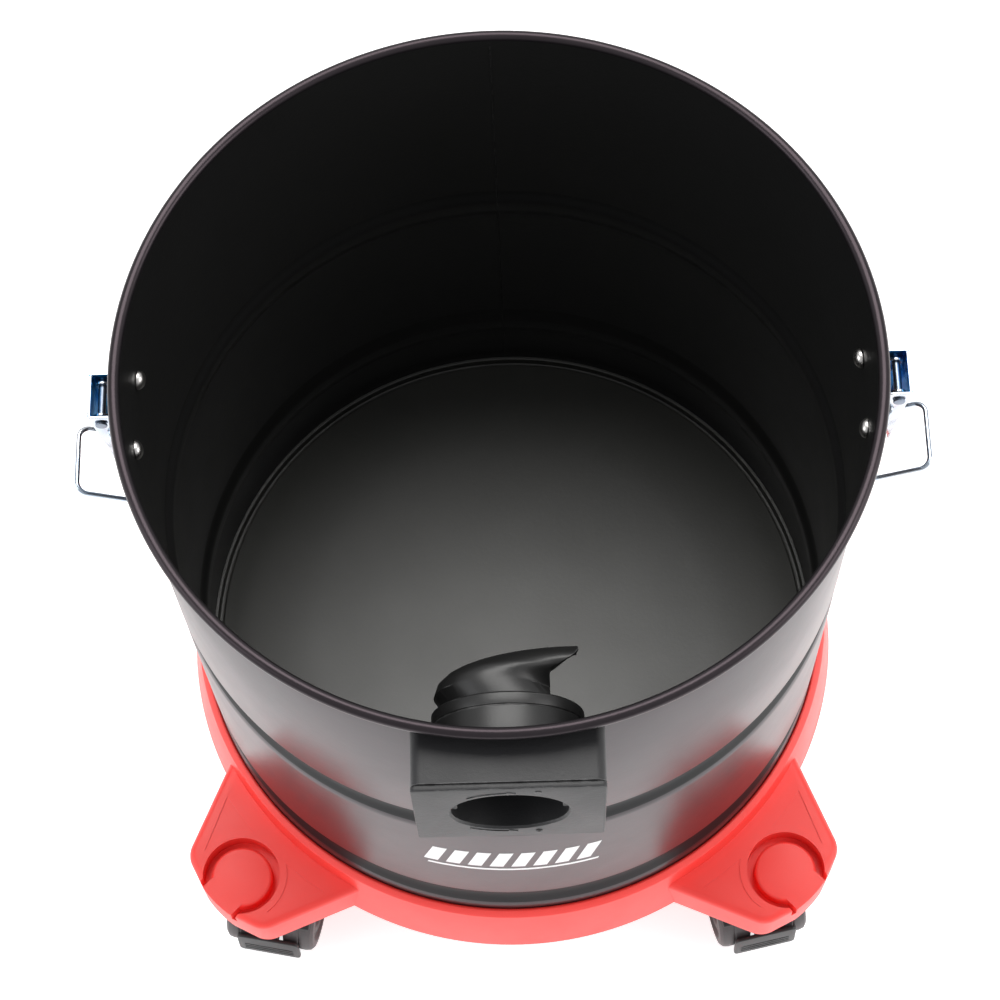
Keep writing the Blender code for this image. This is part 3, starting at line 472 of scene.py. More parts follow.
# ---------------------------------------------------------------- shader nodes


@dataclass
class Wiring:
    """Adds and links the nodes of one node tree."""

    tree: bpy.types.NodeTree

    def add(self, kind: str, settings: Optional[dict] = None, **values: object) -> bpy.types.Node:
        """Adds a node.

        Args:
            kind: the node's type without its ShaderNode prefix.
            settings: the node's own settings.
            **values: input sockets, with _ for a space, each a value or an output socket.

        Returns:
            The node.
        """
        node = self.tree.nodes.new("ShaderNode" + kind)
        for name, value in (settings or {}).items():
            setattr(node, name, value)
        for name, value in values.items():
            self.feed(node.inputs[name.replace("_", " ")], value)
        return node

    def feed(self, socket: bpy.types.NodeSocket, value: object) -> None:
        """Links or sets one input socket."""
        if isinstance(value, bpy.types.NodeSocket):
            self.tree.links.new(value, socket)
        else:
            socket.default_value = value

    def blend(
        self, factor: object, first: object, second: object, mode: str = "MIX"
    ) -> bpy.types.NodeSocket:
        """Blends two colours.

        Args:
            factor: how much of the second colour, as a value or a socket.
            first: the first colour.
            second: the second colour.
            mode: the blend type.

        Returns:
            The result's socket.
        """
        node = self.add("Mix", {"data_type": "RGBA", "blend_type": mode})
        for index, value in ((0, factor), (6, first), (7, second)):
            self.feed(node.inputs[index], value)
        return node.outputs[2]

    def sum(
        self, operation: str, first: object, second: object = 0.0, clamp: bool = False
    ) -> bpy.types.NodeSocket:
        """Works out one operation on two values.

        Args:
            operation: the maths node's operation.
            first: a value or a socket.
            second: a value or a socket.
            clamp: whether the result is held between 0 and 1.

        Returns:
            The result's socket.
        """
        node = self.add("Math", {"operation": operation, "use_clamp": clamp})
        self.feed(node.inputs[0], first)
        self.feed(node.inputs[1], second)
        return node.outputs[0]

    def spread(
        self, value: object, low: float, high: float, start: object = 0.0, end: object = 1.0
    ) -> bpy.types.NodeSocket:
        """Maps a value from one range to another, held inside it.

        Args:
            value: the value's socket.
            low: the value that gives the start.
            high: the value that gives the end.
            start: the result at and below low.
            end: the result at and above high.

        Returns:
            The result's socket.
        """
        span = {"From_Min": low, "From_Max": high, "To_Min": start, "To_Max": end}
        return self.add("MapRange", {"clamp": True}, Value=value, **span).outputs[0]

    def noise(
        self, vector: object, scale: object, detail: float = 4.0, roughness: float = 0.5
    ) -> bpy.types.NodeSocket:
        """A noise texture's value."""
        node = self.add("TexNoise", Vector=vector, Scale=scale, Detail=detail, Roughness=roughness)
        return node.outputs["Fac"]


class Effect:
    """A shader node group that several finishes share, built once."""

    name = "effect"
    inputs: tuple[tuple[str, str, object], ...] = ()
    outputs: tuple[tuple[str, str], ...] = ()

    def wire(self, wiring: Wiring, given: dict, wanted: dict) -> None:
        """Links the group's nodes from its inputs to its outputs."""
        raise NotImplementedError

    def group(self) -> bpy.types.NodeTree:
        """The node group, made on first use."""
        found = bpy.data.node_groups.get(self.name)
        if found:
            return found
        tree = bpy.data.node_groups.new(self.name, "ShaderNodeTree")
        for name, kind, value in self.inputs:
            socket = tree.interface.new_socket(name=name, in_out="INPUT", socket_type="NodeSocket" + kind)
            if value is not None:
                socket.default_value = value
        for name, kind in self.outputs:
            tree.interface.new_socket(name=name, in_out="OUTPUT", socket_type="NodeSocket" + kind)
        start = tree.nodes.new("NodeGroupInput")
        end = tree.nodes.new("NodeGroupOutput")
        given = {name: start.outputs[name] for name, _, _ in self.inputs}
        wanted = {name: end.inputs[name] for name, _ in self.outputs}
        self.wire(Wiring(tree), given, wanted)
        return tree

    def use(self, wiring: Wiring, **values: object) -> bpy.types.Node:
        """Places the group in a material with its own values."""
        node = wiring.tree.nodes.new("ShaderNodeGroup")
        node.node_tree = self.group()
        for name, value in values.items():
            wiring.feed(node.inputs[name], value)
        return node


class Grain(Effect):
    """Fine moulded or sprayed texture: coarse and fine noise added."""

    name = "grain"
    inputs = (("Vector", "Vector", None), ("Scale", "Float", 400.0), ("Fine", "Float", 0.5))
    outputs = (("Height", "Float"),)

    def wire(self, wiring: Wiring, given: dict, wanted: dict) -> None:
        """Adds a fine noise to a coarse one."""
        coarse = wiring.noise(given["Vector"], given["Scale"], 3.0)
        fine = wiring.noise(given["Vector"], wiring.sum("MULTIPLY", given["Scale"], 3.3), 2.0)
        added = wiring.sum("ADD", coarse, wiring.sum("MULTIPLY", fine, given["Fine"]))
        wiring.feed(wanted["Height"], added)


class Mottle(Effect):
    """Broad changes of tone over a colour."""

    name = "mottle"
    inputs = (
        ("Vector", "Vector", None),
        ("Colour", "Color", None),
        ("Scale", "Float", 8.0),
        ("Amount", "Float", 0.1),
    )
    outputs = (("Colour", "Color"),)

    def wire(self, wiring: Wiring, given: dict, wanted: dict) -> None:
        """Multiplies the colour by a grey that wanders round one."""
        cloud = wiring.noise(given["Vector"], given["Scale"], 5.0, 0.6)
        swing = wiring.sum("MULTIPLY", wiring.sum("SUBTRACT", cloud, 0.5), given["Amount"])
        tone = wiring.sum("ADD", wiring.sum("MULTIPLY", swing, 2.0), 1.0)
        grey = wiring.add("CombineColor", Red=tone, Green=tone, Blue=tone).outputs[0]
        wiring.feed(wanted["Colour"], wiring.blend(1.0, given["Colour"], grey, "MULTIPLY"))


class Smudge(Effect):
    """Handled patches: roughness that wanders between two values."""

    name = "smudge"
    inputs = (
        ("Vector", "Vector", None),
        ("Scale", "Float", 12.0),
        ("Low", "Float", 0.3),
        ("High", "Float", 0.5),
    )
    outputs = (("Roughness", "Float"),)

    def wire(self, wiring: Wiring, given: dict, wanted: dict) -> None:
        """Maps a cloudy noise onto the two values."""
        cloud = wiring.noise(given["Vector"], given["Scale"], 6.0, 0.65)
        wiring.feed(wanted["Roughness"], wiring.spread(cloud, 0.3, 0.7, given["Low"], given["High"]))


class Dust(Effect):
    """Thin dust that settles on faces turned upwards."""

    name = "settled_dust"
    inputs = (
        ("Vector", "Vector", None),
        ("Colour", "Color", None),
        ("Dust", "Color", (0.42, 0.4, 0.37, 1)),
        ("Amount", "Float", 0.1),
    )
    outputs = (("Colour", "Color"), ("Mask", "Float"))

    def wire(self, wiring: Wiring, given: dict, wanted: dict) -> None:
        """Masks by the normal's height and a broken noise."""
        normal = wiring.add("NewGeometry").outputs["Normal"]
        up = wiring.spread(wiring.add("SeparateXYZ", Vector=normal).outputs["Z"], 0.2, 1.0)
        cloud = wiring.spread(wiring.noise(given["Vector"], 22.0, 8.0, 0.7), 0.4, 0.75)
        specks = wiring.spread(wiring.noise(given["Vector"], 900.0, 2.0, 0.6), 0.58, 0.75)
        cover = wiring.sum("ADD", cloud, wiring.sum("MULTIPLY", specks, 0.6))
        mask = wiring.sum("MULTIPLY", wiring.sum("MULTIPLY", up, cover), given["Amount"], clamp=True)
        wiring.feed(wanted["Mask"], mask)
        wiring.feed(wanted["Colour"], wiring.blend(mask, given["Colour"], given["Dust"]))


class Wear(Effect):
    """Rubbed edges that show a lighter tone."""

    name = "edge_wear"
    inputs = (
        ("Vector", "Vector", None),
        ("Colour", "Color", None),
        ("Bare", "Color", (0.3, 0.3, 0.3, 1)),
        ("Amount", "Float", 0.3),
    )
    outputs = (("Colour", "Color"), ("Mask", "Float"))

    def wire(self, wiring: Wiring, given: dict, wanted: dict) -> None:
        """Masks where a rounded normal leaves the true one, broken by noise."""
        soft = wiring.add("Bevel", {"samples": 4}, Radius=0.0009).outputs["Normal"]
        true = wiring.add("NewGeometry").outputs["Normal"]
        turn = wiring.add("VectorMath", {"operation": "DOT_PRODUCT"})
        wiring.feed(turn.inputs[0], soft)
        wiring.feed(turn.inputs[1], true)
        edge = wiring.spread(wiring.sum("SUBTRACT", 1.0, turn.outputs["Value"]), 0.01, 0.12)
        broken = wiring.spread(wiring.noise(given["Vector"], 120.0, 6.0, 0.7), 0.42, 0.62)
        mask = wiring.sum("MULTIPLY", wiring.sum("MULTIPLY", edge, broken), given["Amount"], clamp=True)
        wiring.feed(wanted["Mask"], mask)
        wiring.feed(wanted["Colour"], wiring.blend(mask, given["Colour"], given["Bare"]))


# ---------------------------------------------------------------- finishes


@dataclass(frozen=True)
class Finish:
    """A surface finish. A subclass says how its nodes are wired."""

    name: str
    colour: Colour

    def material(self) -> bpy.types.Material:
        """The finish's material, made on first use."""
        found = bpy.data.materials.get(self.name)
        if found:
            return found
        material = bpy.data.materials.new(self.name)
        material.use_nodes = True
        wiring = Wiring(material.node_tree)
        shader = material.node_tree.nodes["Principled BSDF"]
        place = wiring.add("TexCoord").outputs["Object"]
        self.wire(wiring, shader, place)
        return material

    def wire(self, wiring: Wiring, shader: bpy.types.Node, place: bpy.types.NodeSocket) -> None:
        """Wires the finish into the Principled shader."""
        raise NotImplementedError

    def rgba(self) -> tuple[float, float, float, float]:
        """The colour with a full alpha."""
        return (*self.colour, 1.0)


def bump(
    wiring: Wiring, shader: bpy.types.Node, height: bpy.types.NodeSocket, strength: float, distance: float
) -> None:
    """Feeds a height into the shader's normal.

    Args:
        wiring: the material's wiring.
        shader: the material's shader.
        height: the height's socket.
        strength: the bump's strength.
        distance: the height of a full step, in metres.
    """
    node = wiring.add("Bump", Height=height, Strength=strength, Distance=distance)
    wiring.feed(shader.inputs["Normal"], node.outputs["Normal"])


@dataclass(frozen=True)
class Paint(Finish):
    """Sprayed enamel on steel: orange peel, faint smudges, dust and rubbed edges, with a tint painted into
    its reflections.
    """

    low: float = 0.2
    high: float = 0.3
    peel: float = 0.12
    peel_scale: float = 260.0
    dust: float = 0.05
    specular: float = 0.5
    painted_reflection_tint: Colour = (1.0, 1.0, 1.0)

    def wire(self, wiring: Wiring, shader: bpy.types.Node, place: bpy.types.NodeSocket) -> None:
        """Wires tone, dust, wear, roughness and orange peel."""
        tone = Mottle().use(wiring, Vector=place, Colour=self.rgba(), Scale=7.0, Amount=0.22)
        dusty = Dust().use(wiring, Vector=place, Colour=tone.outputs[0], Amount=self.dust)
        worn = Wear().use(wiring, Vector=place, Colour=dusty.outputs[0], Amount=0.25)
        wiring.feed(shader.inputs["Base Color"], worn.outputs["Colour"])
        rough = Smudge().use(wiring, Vector=place, Scale=9.0, Low=self.low, High=self.high)
        matt = wiring.sum("MULTIPLY", dusty.outputs["Mask"], 0.6)
        wiring.feed(shader.inputs["Roughness"], wiring.sum("ADD", rough.outputs[0], matt, True))
        grain = Grain().use(wiring, Vector=place, Scale=self.peel_scale, Fine=0.35)
        bump(wiring, shader, grain.outputs[0], self.peel, 0.0004)
        shader.inputs["Specular IOR Level"].default_value = self.specular
        # A tint other than white paints a colour into the enamel's reflections.
        shader.inputs["Specular Tint"].default_value = (*self.painted_reflection_tint, 1)


@dataclass(frozen=True)
class Moulded(Finish):
    """Injection-moulded plastic: spark-eroded grain, soft tone changes and light rubbed edges."""

    low: float = 0.35
    high: float = 0.5
    grain: float = 0.3
    grain_scale: float = 900.0
    bare: Colour = (0.25, 0.25, 0.25)
    wear: float = 0.35
    dust: float = 0.08
    glow: float = 0.0
    tone: float = 0.12

    def wire(self, wiring: Wiring, shader: bpy.types.Node, place: bpy.types.NodeSocket) -> None:
        """Wires tone, wear, dust, roughness and grain."""
        tone = Mottle().use(wiring, Vector=place, Colour=self.rgba(), Scale=11.0, Amount=self.tone)
        bare = (*self.bare, 1)
        worn = Wear().use(wiring, Vector=place, Colour=tone.outputs[0], Bare=bare, Amount=self.wear)
        dusty = Dust().use(wiring, Vector=place, Colour=worn.outputs["Colour"], Amount=self.dust)
        wiring.feed(shader.inputs["Base Color"], dusty.outputs["Colour"])
        rough = Smudge().use(wiring, Vector=place, Scale=16.0, Low=self.low, High=self.high)
        wiring.feed(shader.inputs["Roughness"], rough.outputs[0])
        grain = Grain().use(wiring, Vector=place, Scale=self.grain_scale, Fine=0.6)
        bump(wiring, shader, grain.outputs[0], self.grain, 0.0002)
        if self.glow:
            shader.inputs["Subsurface Weight"].default_value = self.glow
            shader.inputs["Subsurface Radius"].default_value = (0.004, 0.001, 0.0006)
            shader.inputs["Subsurface Scale"].default_value = 0.5


@dataclass(frozen=True)
class Plated(Finish):
    """Zinc plate or bright steel: drawn lines, a faint tint that wanders, and smudges."""

    tint: Colour = (0.7, 0.75, 0.85)
    low: float = 0.12
    high: float = 0.28
    drawn: float = 0.08
    tint_scale: float = 30.0

    def wire(self, wiring: Wiring, shader: bpy.types.Node, place: bpy.types.NodeSocket) -> None:
        """Wires tint, roughness and drawn lines."""
        cloud = wiring.spread(wiring.noise(place, self.tint_scale, 4.0, 0.55), 0.35, 0.65)
        tinted = wiring.blend(cloud, self.rgba(), (*self.tint, 1))
        dusty = Dust().use(wiring, Vector=place, Colour=tinted, Amount=0.03)
        wiring.feed(shader.inputs["Base Color"], dusty.outputs["Colour"])
        rough = Smudge().use(wiring, Vector=place, Scale=45.0, Low=self.low, High=self.high)
        wiring.feed(shader.inputs["Roughness"], rough.outputs[0])
        shader.inputs["Metallic"].default_value = 1.0
        stretched = wiring.add("Mapping", Vector=place, Scale=(1.0, 1.0, 0.06)).outputs[0]
        grain = Grain().use(wiring, Vector=stretched, Scale=1500.0, Fine=0.4)
        bump(wiring, shader, grain.outputs[0], self.drawn, 0.0001)


@dataclass(frozen=True)
class Ink(Finish):
    """A printed foil: near flat colour with faint print unevenness."""

    def wire(self, wiring: Wiring, shader: bpy.types.Node, place: bpy.types.NodeSocket) -> None:
        """Wires tone, roughness and a fine grain."""
        tone = Mottle().use(wiring, Vector=place, Colour=self.rgba(), Scale=60.0, Amount=0.06)
        wiring.feed(shader.inputs["Base Color"], tone.outputs[0])
        rough = Smudge().use(wiring, Vector=place, Scale=50.0, Low=0.3, High=0.45)
        wiring.feed(shader.inputs["Roughness"], rough.outputs[0])
        grain = Grain().use(wiring, Vector=place, Scale=800.0, Fine=0.3)
        bump(wiring, shader, grain.outputs[0], 0.05, 0.0001)


# The outer enamel's pink-mauve reflection tint is a painted reflection: it colours the wall's reflections the
# way the red trolley below tints them.
OUTER_PAINT = Paint(
    "outer_enamel", (0.0095, 0.0085, 0.0095), low=0.27, high=0.34, peel=0.06, dust=0.012,
    specular=0.36, painted_reflection_tint=(1.0, 0.8, 0.9),
)
# The groove enamel is painted shade: darker and less glossy than the outer enamel, so the pressed grooves
# read dark.
GROOVE_PAINTED_SHADE = Paint(
    "groove_painted_shade", (0.006, 0.0065, 0.0075), low=0.36, high=0.46, peel=0.08, dust=0.01, specular=0.12,
)
INNER_PAINT = Paint(
    "inner_enamel", (0.0105, 0.0105, 0.0105), low=0.3, high=0.38, peel=0.16, peel_scale=420.0, dust=0.01,
)
FLOOR_PAINT = Paint(
    "floor_enamel", (0.034, 0.034, 0.0295), low=0.42, high=0.47, peel=0.12, peel_scale=420.0,
    dust=0.02, specular=0.8,
)
BLACK_GRAINED = Moulded(
    "black_grained", (0.0088, 0.0088, 0.01), low=0.46, high=0.54, grain=0.6, grain_scale=520.0,
    dust=0.006, wear=0.5,
)
BLACK_SMOOTH = Moulded(
    "black_smooth", (0.0105, 0.0105, 0.0105), low=0.34, high=0.44, grain=0.12, dust=0.012, wear=0.5,
)
CASTER_BLACK = Moulded("caster_black", (0.013, 0.013, 0.014), low=0.34, high=0.48, grain=0.25, dust=0.015)
WHEEL_GREY = Moulded(
    "wheel_grey", (0.075, 0.068, 0.07), low=0.4, high=0.55, grain=0.3, bare=(0.2, 0.19, 0.19), dust=0.12,
)
RED = Moulded(
    "red_moulding", (0.98, 0.055, 0.045), low=0.36, high=0.46, grain=0.14, grain_scale=700.0,
    bare=(0.85, 0.12, 0.1), wear=0.3, dust=0.03, glow=0.12, tone=0.05,
)
ZINC = Plated("zinc_plate", (0.6, 0.62, 0.65), tint=(0.48, 0.56, 0.66))
# The blue zinc is a painted reflection: a blue tint put on the faces inside the latch channels.
ZINC_PAINTED_BLUE_REFLECTION = Plated(
    "zinc_painted_blue_reflection", (0.05, 0.2, 0.62), tint=(0.03, 0.38, 0.6), low=0.25, high=0.34, tint_scale=22.0,
)
PIN_STEEL = Plated("pin_steel", (0.22, 0.27, 0.34), tint=(0.18, 0.2, 0.24), low=0.26, high=0.4)
STEEL = Plated("bright_steel", (0.72, 0.7, 0.67), tint=(0.66, 0.64, 0.62), low=0.22, high=0.34)
PRINT = Ink("white_print", (0.86, 0.86, 0.86))


# ---------------------------------------------------------------- settling pieces


@dataclass(frozen=True)
class Anchor:
    """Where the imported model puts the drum."""

    axis_y: float
    rim_top: float

    @classmethod
    def read(cls) -> "Anchor":
        """Reads the drum's axis and top from its node."""
        low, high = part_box("drum_shell")
        return cls(axis_y=(low.y + high.y) / 2, rim_top=high.z)

    def matrix(self) -> Matrix:
        """Moves a piece built about the drum's axis into place."""
        return Matrix.Translation((0, self.axis_y, 0))


def settle(
    obj: bpy.types.Object, body: str, finishes: Sequence[Finish], matrix: Matrix,
    nodes: Sequence[str] = (), angle: float = 30.0,
) -> bpy.types.Object:
    """Puts a finished piece in place, dresses it and lets it ride on its body.

    Args:
        obj: the piece, in its local frame.
        body: the body it moves with.
        finishes: its finishes, in the order of its material indices.
        matrix: from its local frame to the model's.
        nodes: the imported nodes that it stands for.
        angle: edges sharper than this stay sharp, in degrees.

    Returns:
        The piece.
    """
    obj.data.transform(matrix)
    if matrix.determinant() < 0:
        obj.data.flip_normals()
    kept = [polygon.material_index for polygon in obj.data.polygons]
    obj.data.materials.clear()
    for finish in finishes:
        obj.data.materials.append(finish.material())
    for polygon, index in zip(obj.data.polygons, kept):
        polygon.material_index = min(index, len(finishes) - 1)
    Bench.smooth(obj, angle)
    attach(obj, body)
    if nodes:
        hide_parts(*nodes)
    LOG.info("%s rides on %s, %d faces", obj.name, body, len(obj.data.polygons))
    return obj


def mark_faces(obj: bpy.types.Object, index: int, test: Callable[[Vector, Vector], bool]) -> None:
    """Gives some faces a material index.

    Args:
        obj: the piece.
        index: the material index.
        test: takes a face's middle and its normal.
    """
    for polygon in obj.data.polygons:
        if test(polygon.center, polygon.normal):
            polygon.material_index = index


# ---------------------------------------------------------------- tank


@dataclass
class Tank:
    """The rolled steel drum, its floor panel, its weld seams and its print."""

    anchor: Anchor
    rim_radius: float = 0.190
    bead: float = 0.003
    wall: float = 0.001
    bottom: float = 0.070
    steps: int = 240
    press_depth: float = 0.0036
    grooves: tuple[tuple[float, float, float, float], ...] = (
        (0.1540, 0.1640, 0.1680, 0.1850),
        (0.3020, 0.3130, 0.3180, 0.3360),
    )
    floor_top: float = 0.076
    floor_radius: float = 0.1784
    inlet_hole: float = 0.0308
    inlet_drop: float = 0.052

    @property
    def rim_height(self) -> float:
        """The height of the bead's middle."""
        return self.anchor.rim_top - self.bead

    @property
    def outer(self) -> float:
        """The wall's outer radius."""
        return self.rim_radius - 2 * self.bead + self.wall

    def press(self, height: float) -> float:
        """How far the wall is pressed in at a height."""
        drop = self.rim_height - height
        for start, deep, leave, end in self.grooves:
            if start < drop < deep:
                return self.press_depth * (0.5 - 0.5 * math.cos(math.pi * (drop - start) / (deep - start)))
            if deep <= drop <= leave:
                return self.press_depth
            if leave < drop < end:
                return self.press_depth * (0.5 + 0.5 * math.cos(math.pi * (drop - leave) / (end - leave)))
        return 0.0

    def wall_line(self, offset: float = 0.0, samples: int = 9) -> list[Point]:
        """The wall's profile from below the bead down to its foot, set off outwards."""
        heights: list[float] = []
        for start, deep, leave, end in self.grooves:
            heights += [start + (deep - start) * i / samples for i in range(samples + 1)]
            heights += [leave + (end - leave) * i / samples for i in range(samples + 1)]
        line = []
        for drop in heights:
            z = self.rim_height - drop
            line.append((self.outer + offset - self.press(z), z))
        return line

    def build_shell(self) -> bpy.types.Object:
        """The drum's wall with its rolled bead and the hole for the inlet."""
        middle = (self.rim_radius - self.bead, self.rim_height)
        bead = arc(middle, self.bead, 180, -150, 24)
        under = [(self.outer, self.rim_height - 1.15 * self.bead)]
        outside = self.wall_line()
        foot = [
            (self.outer, self.bottom + self.wall),
            (self.outer - self.wall * 0.4, self.bottom),
            (self.outer - 4 * self.wall, self.bottom),
            (self.outer - 4 * self.wall, self.bottom + self.wall * 0.7),
            (self.outer - self.wall, self.bottom + self.wall * 0.7),
        ]
        inside = list(reversed(self.wall_line(-self.wall)))
        shell = Bench.lathe("tank_shell", bead + under + outside + foot + inside, self.steps)
        z = self.rim_height - self.inlet_drop
        Bench.cut(shell, Bench.rod("hole", self.inlet_hole, (0, -0.22, z), (0, -0.12, z), 64))
        middle_radius = self.outer - self.wall / 2
        mark_faces(shell, 1, lambda c, n: math.hypot(c.x, c.y) < middle_radius - self.press(c.z)
                   and c.z < self.rim_height - 0.5 * self.bead and n.x * c.x + n.y * c.y < 0)
        # Outer faces in the pressed grooves take the groove enamel: painted shade in the grooves.
        mark_faces(shell, 2, lambda c, n: self.press(c.z) > 0.25 * self.press_depth
                   and math.hypot(c.x, c.y) > middle_radius - self.press(c.z))
        finishes = (OUTER_PAINT, INNER_PAINT, GROOVE_PAINTED_SHADE)
        return settle(shell, "tank", finishes, self.anchor.matrix(), ("drum_shell",), 40)

    def build_floor(self) -> bpy.types.Object:
        """The floor panel with its pressed edge."""
        top, radius = self.floor_top, self.floor_radius
        edge = self.outer - self.wall - FIT
        crown = rounded_profile(
            [(0.12, top), (radius, top), (radius, top - 0.0042), (radius + 0.0032, top - 0.0042),
             (radius + 0.0032, top + 0.001), (edge, top + 0.001)], 0.0009, 4)
        inside = radius - 0.001
        under = [(edge, top - 0.005), (inside, top - 0.005), (inside, top - 0.001), (0, top - 0.001)]
        panel = Bench.lathe("tank_floor", [(0, top)] + crown + under, self.steps, closed=False)
        return settle(panel, "tank", (FLOOR_PAINT,), self.anchor.matrix(), ("drum_floor",), 40)

    def build_seams(self) -> None:
        """The weld beads down the back of the wall, inside and outside."""
        lines = {"tank_weld_inside": -self.wall - 0.00005, "tank_weld_outside": 0.00005}
        for name, offset in lines.items():
            line = self.wall_line(offset)
            top = [(line[0][0], self.rim_height - 1.6 * self.bead)]
            foot = [(line[-1][0], self.bottom + 0.009)]
            seam = Bench.wire(name, [Vector((0, r, z)) for r, z in top + line + foot], 0.0004)
            finish = INNER_PAINT if offset < 0 else OUTER_PAINT
            settle(seam, "tank", (finish,), self.anchor.matrix())

    def build_print(self) -> None:
        """A plain printed mark under the inlet: slanted bars over a thin rule."""
        radius = self.outer + 0.00012
        first, pitch, broad = -0.0470, 0.0119, 0.0076
        lefts = [first + pitch * i for i in range(8)]
        shapes = [(left, left + broad, -0.2185, -0.2455, 0.0060) for left in lefts]
        shapes.append((-0.0480, 0.0455, -0.2500, -0.2530, 0.0006))
        pieces = []
        for left, right, top, low, slant in shapes:
            Bench.clear()
            bpy.ops.mesh.primitive_grid_add(x_subdivisions=12, y_subdivisions=2, size=1)
            patch = Bench.made("bar")
            for vertex in patch.data.vertices:
                across = vertex.co.x + 0.5
                up = vertex.co.y + 0.5
                x = left + (right - left) * across + slant * (up - 0.5)
                z = self.rim_height + low + (top - low) * up
                vertex.co = (x, -math.sqrt(radius**2 - x**2), z)
            pieces.append(patch)
        mark = Bench.merge(pieces[0], *pieces[1:])
        mark.name = "tank_print"
        Bench.edit(mark)
        Bench.pick(mark, "faces", lambda c, n: n.y > 0)
        bpy.ops.mesh.flip_normals()
        Bench.clear()
        Bench.modify(mark, "SOLIDIFY", thickness=0.0001, offset=-1)
        settle(mark, "tank", (PRINT,), self.anchor.matrix())

    def build(self) -> None:
        """Builds the whole tank."""
        self.build_shell()
        self.build_floor()
        self.build_seams()
        self.build_print()


# ---------------------------------------------------------------- hose inlet


@dataclass
class Inlet:
    """The square hose inlet, the collar inside the drum and the bent deflector."""

    tank: Tank
    half_width: float = 0.0455
    front: float = 0.210
    top_drop: float = 0.013
    height: float = 0.080
    plate: float = 0.0032
    groove: float = 0.0007
    bore: float = 0.028
    side_round: float = 0.005
    neck: float = 0.0303
    collar_width: float = 0.0062
    collar_length: float = 0.023
    pivot_x: float = 0.033
    hood_side: float = 0.0355
    hood_open: float = 0.024
    hood_reach: float = 0.024
    hood_crease: float = 0.0155
    sweep: float = 104.0
    screw_inset: float = 0.0075

    @property
    def axis_z(self) -> float:
        """The height of the bore's axis."""
        return self.tank.rim_height - self.tank.inlet_drop

    @property
    def top(self) -> float:
        """The housing's top."""
        return self.tank.rim_height - self.top_drop

    def rounded_box(
        self, name: str, start: float, end: float, grow: float, corner: float
    ) -> bpy.types.Object:
        """A box across the inlet with its four depth-wise edges rounded.

        Args:
            name: the object's name.
            start: its depth nearest the drum.
            end: its depth at the front.
            grow: how much further than the housing it reaches each way.
            corner: the radius of its rounded edges.

        Returns:
            The box.
        """
        low = (-self.half_width - grow, -end, self.top - self.height - grow)
        high = (self.half_width + grow, -start, self.top + grow)
        box = Bench.block(name, low, high)
        Bench.edit(box)
        Bench.pick(box, "edges", lambda c, d: abs(d.y) > 0.9)
        bpy.ops.mesh.bevel(offset=corner, segments=6)
        Bench.clear()
        return box

    def build_housing(self) -> bpy.types.Object:
        """The housing with its face plate, bore, bayonet lugs and raised marks."""
        seam = self.front - self.plate
        body = self.rounded_box("inlet_block", 0.12, seam - self.groove, 0.0, self.side_round)
        face = self.rounded_box("face", seam, self.front - 0.0004, 0.0, 0.0022)
        Bench.bevel(face, 0.0006, 2, 60)
        neck = self.rounded_box("neck", 0.15, self.front - 0.001, -0.0012, 0.003)
        Bench.cut(body, neck, "UNION")
        Bench.cut(body, face, "UNION")
        drum = Bench.rod("drum", self.tank.outer + FIT, (0, 0, 0.2), (0, 0, 0.6), self.tank.steps)
        Bench.cut(body, drum)
        z = self.axis_z
        seat, flare = self.neck + FIT, self.bore + 0.0014
        mouth = [(0, 0.1), (seat, 0.1), (seat, 0.0133), (self.bore, 0.0130)]
        mouth += [(self.bore, -0.0108), (flare, -0.0124), (flare, -0.0140), (0, -0.0140)]
        tool = Bench.lathe("mouth", [(r, y) for r, y in reversed(mouth)], 96, closed=False)
        place = Matrix.Translation((0, -self.front + 0.0124, z))
        tool.data.transform(place @ Matrix.Rotation(-math.pi / 2, 4, "X"))
        Bench.cut(body, tool)
        for sign in (-1, 1):
            inner, outer = sign * (self.bore - 0.003), sign * (self.bore + 0.001)
            low = (min(inner, outer), -self.front + 0.004, z - 0.005)
            high = (max(inner, outer), -self.front + 0.008, z + 0.005)
            Bench.cut(body, Bench.bevel(Bench.block("lug", low, high), 0.0008, 2), "UNION")
        round_bore = self.bore + 0.0016
        mark_faces(body, 1, lambda c, n: c.y < -seam - 0.0002 or math.hypot(c.x, c.z - z) < round_bore)
        marks = self.build_marks()
        Bench.merge(body, *marks)
        matrix = self.tank.anchor.matrix()
        return settle(body, "tank", (BLACK_GRAINED, BLACK_SMOOTH), matrix, ("inlet_housing",), 35)

    def build_marks(self) -> list[bpy.types.Object]:
        """Raised curved arrows over and under the bore, with a dot and a ring beside them."""
        marks = []
        upright = Matrix.Translation((0, -self.front + 0.0004, self.axis_z))
        upright = upright @ Matrix.Rotation(math.pi / 2, 4, "X")
        for sign in (-1, 1):
            radius = 0.0318
            band = arc((0, 0), radius + 0.0005, 128, 92, 14) + arc((0, 0), radius - 0.0005, 92, 128, 14)
            head = [(radius + 0.0019, 92), (radius, 84), (radius - 0.0019, 92)]
            tip = [(r * math.cos(math.radians(a)), r * math.sin(math.radians(a))) for r, a in head]
            for outline in (band, tip):
                mark = Bench.slab("mark", [(x, sign * y) for x, y in outline], -0.0005, 0.0004)
                marks.append(mark)
            place = (0.0135, sign * 0.0325)
            ring = arc((0, 0), 0.0017, 0, 345, 23)
            dot = Bench.slab("mark", [(place[0] + x, place[1] + y) for x, y in ring], -0.0005, 0.0004)
            if sign < 0:
                Bench.cut(dot, Bench.rod("eye", 0.001, (*place, -0.001), (*place, 0.001)))
            marks.append(dot)
        for mark in marks:
            mark.data.transform(upright)
            for polygon in mark.data.polygons:
                polygon.material_index = 1
        return marks

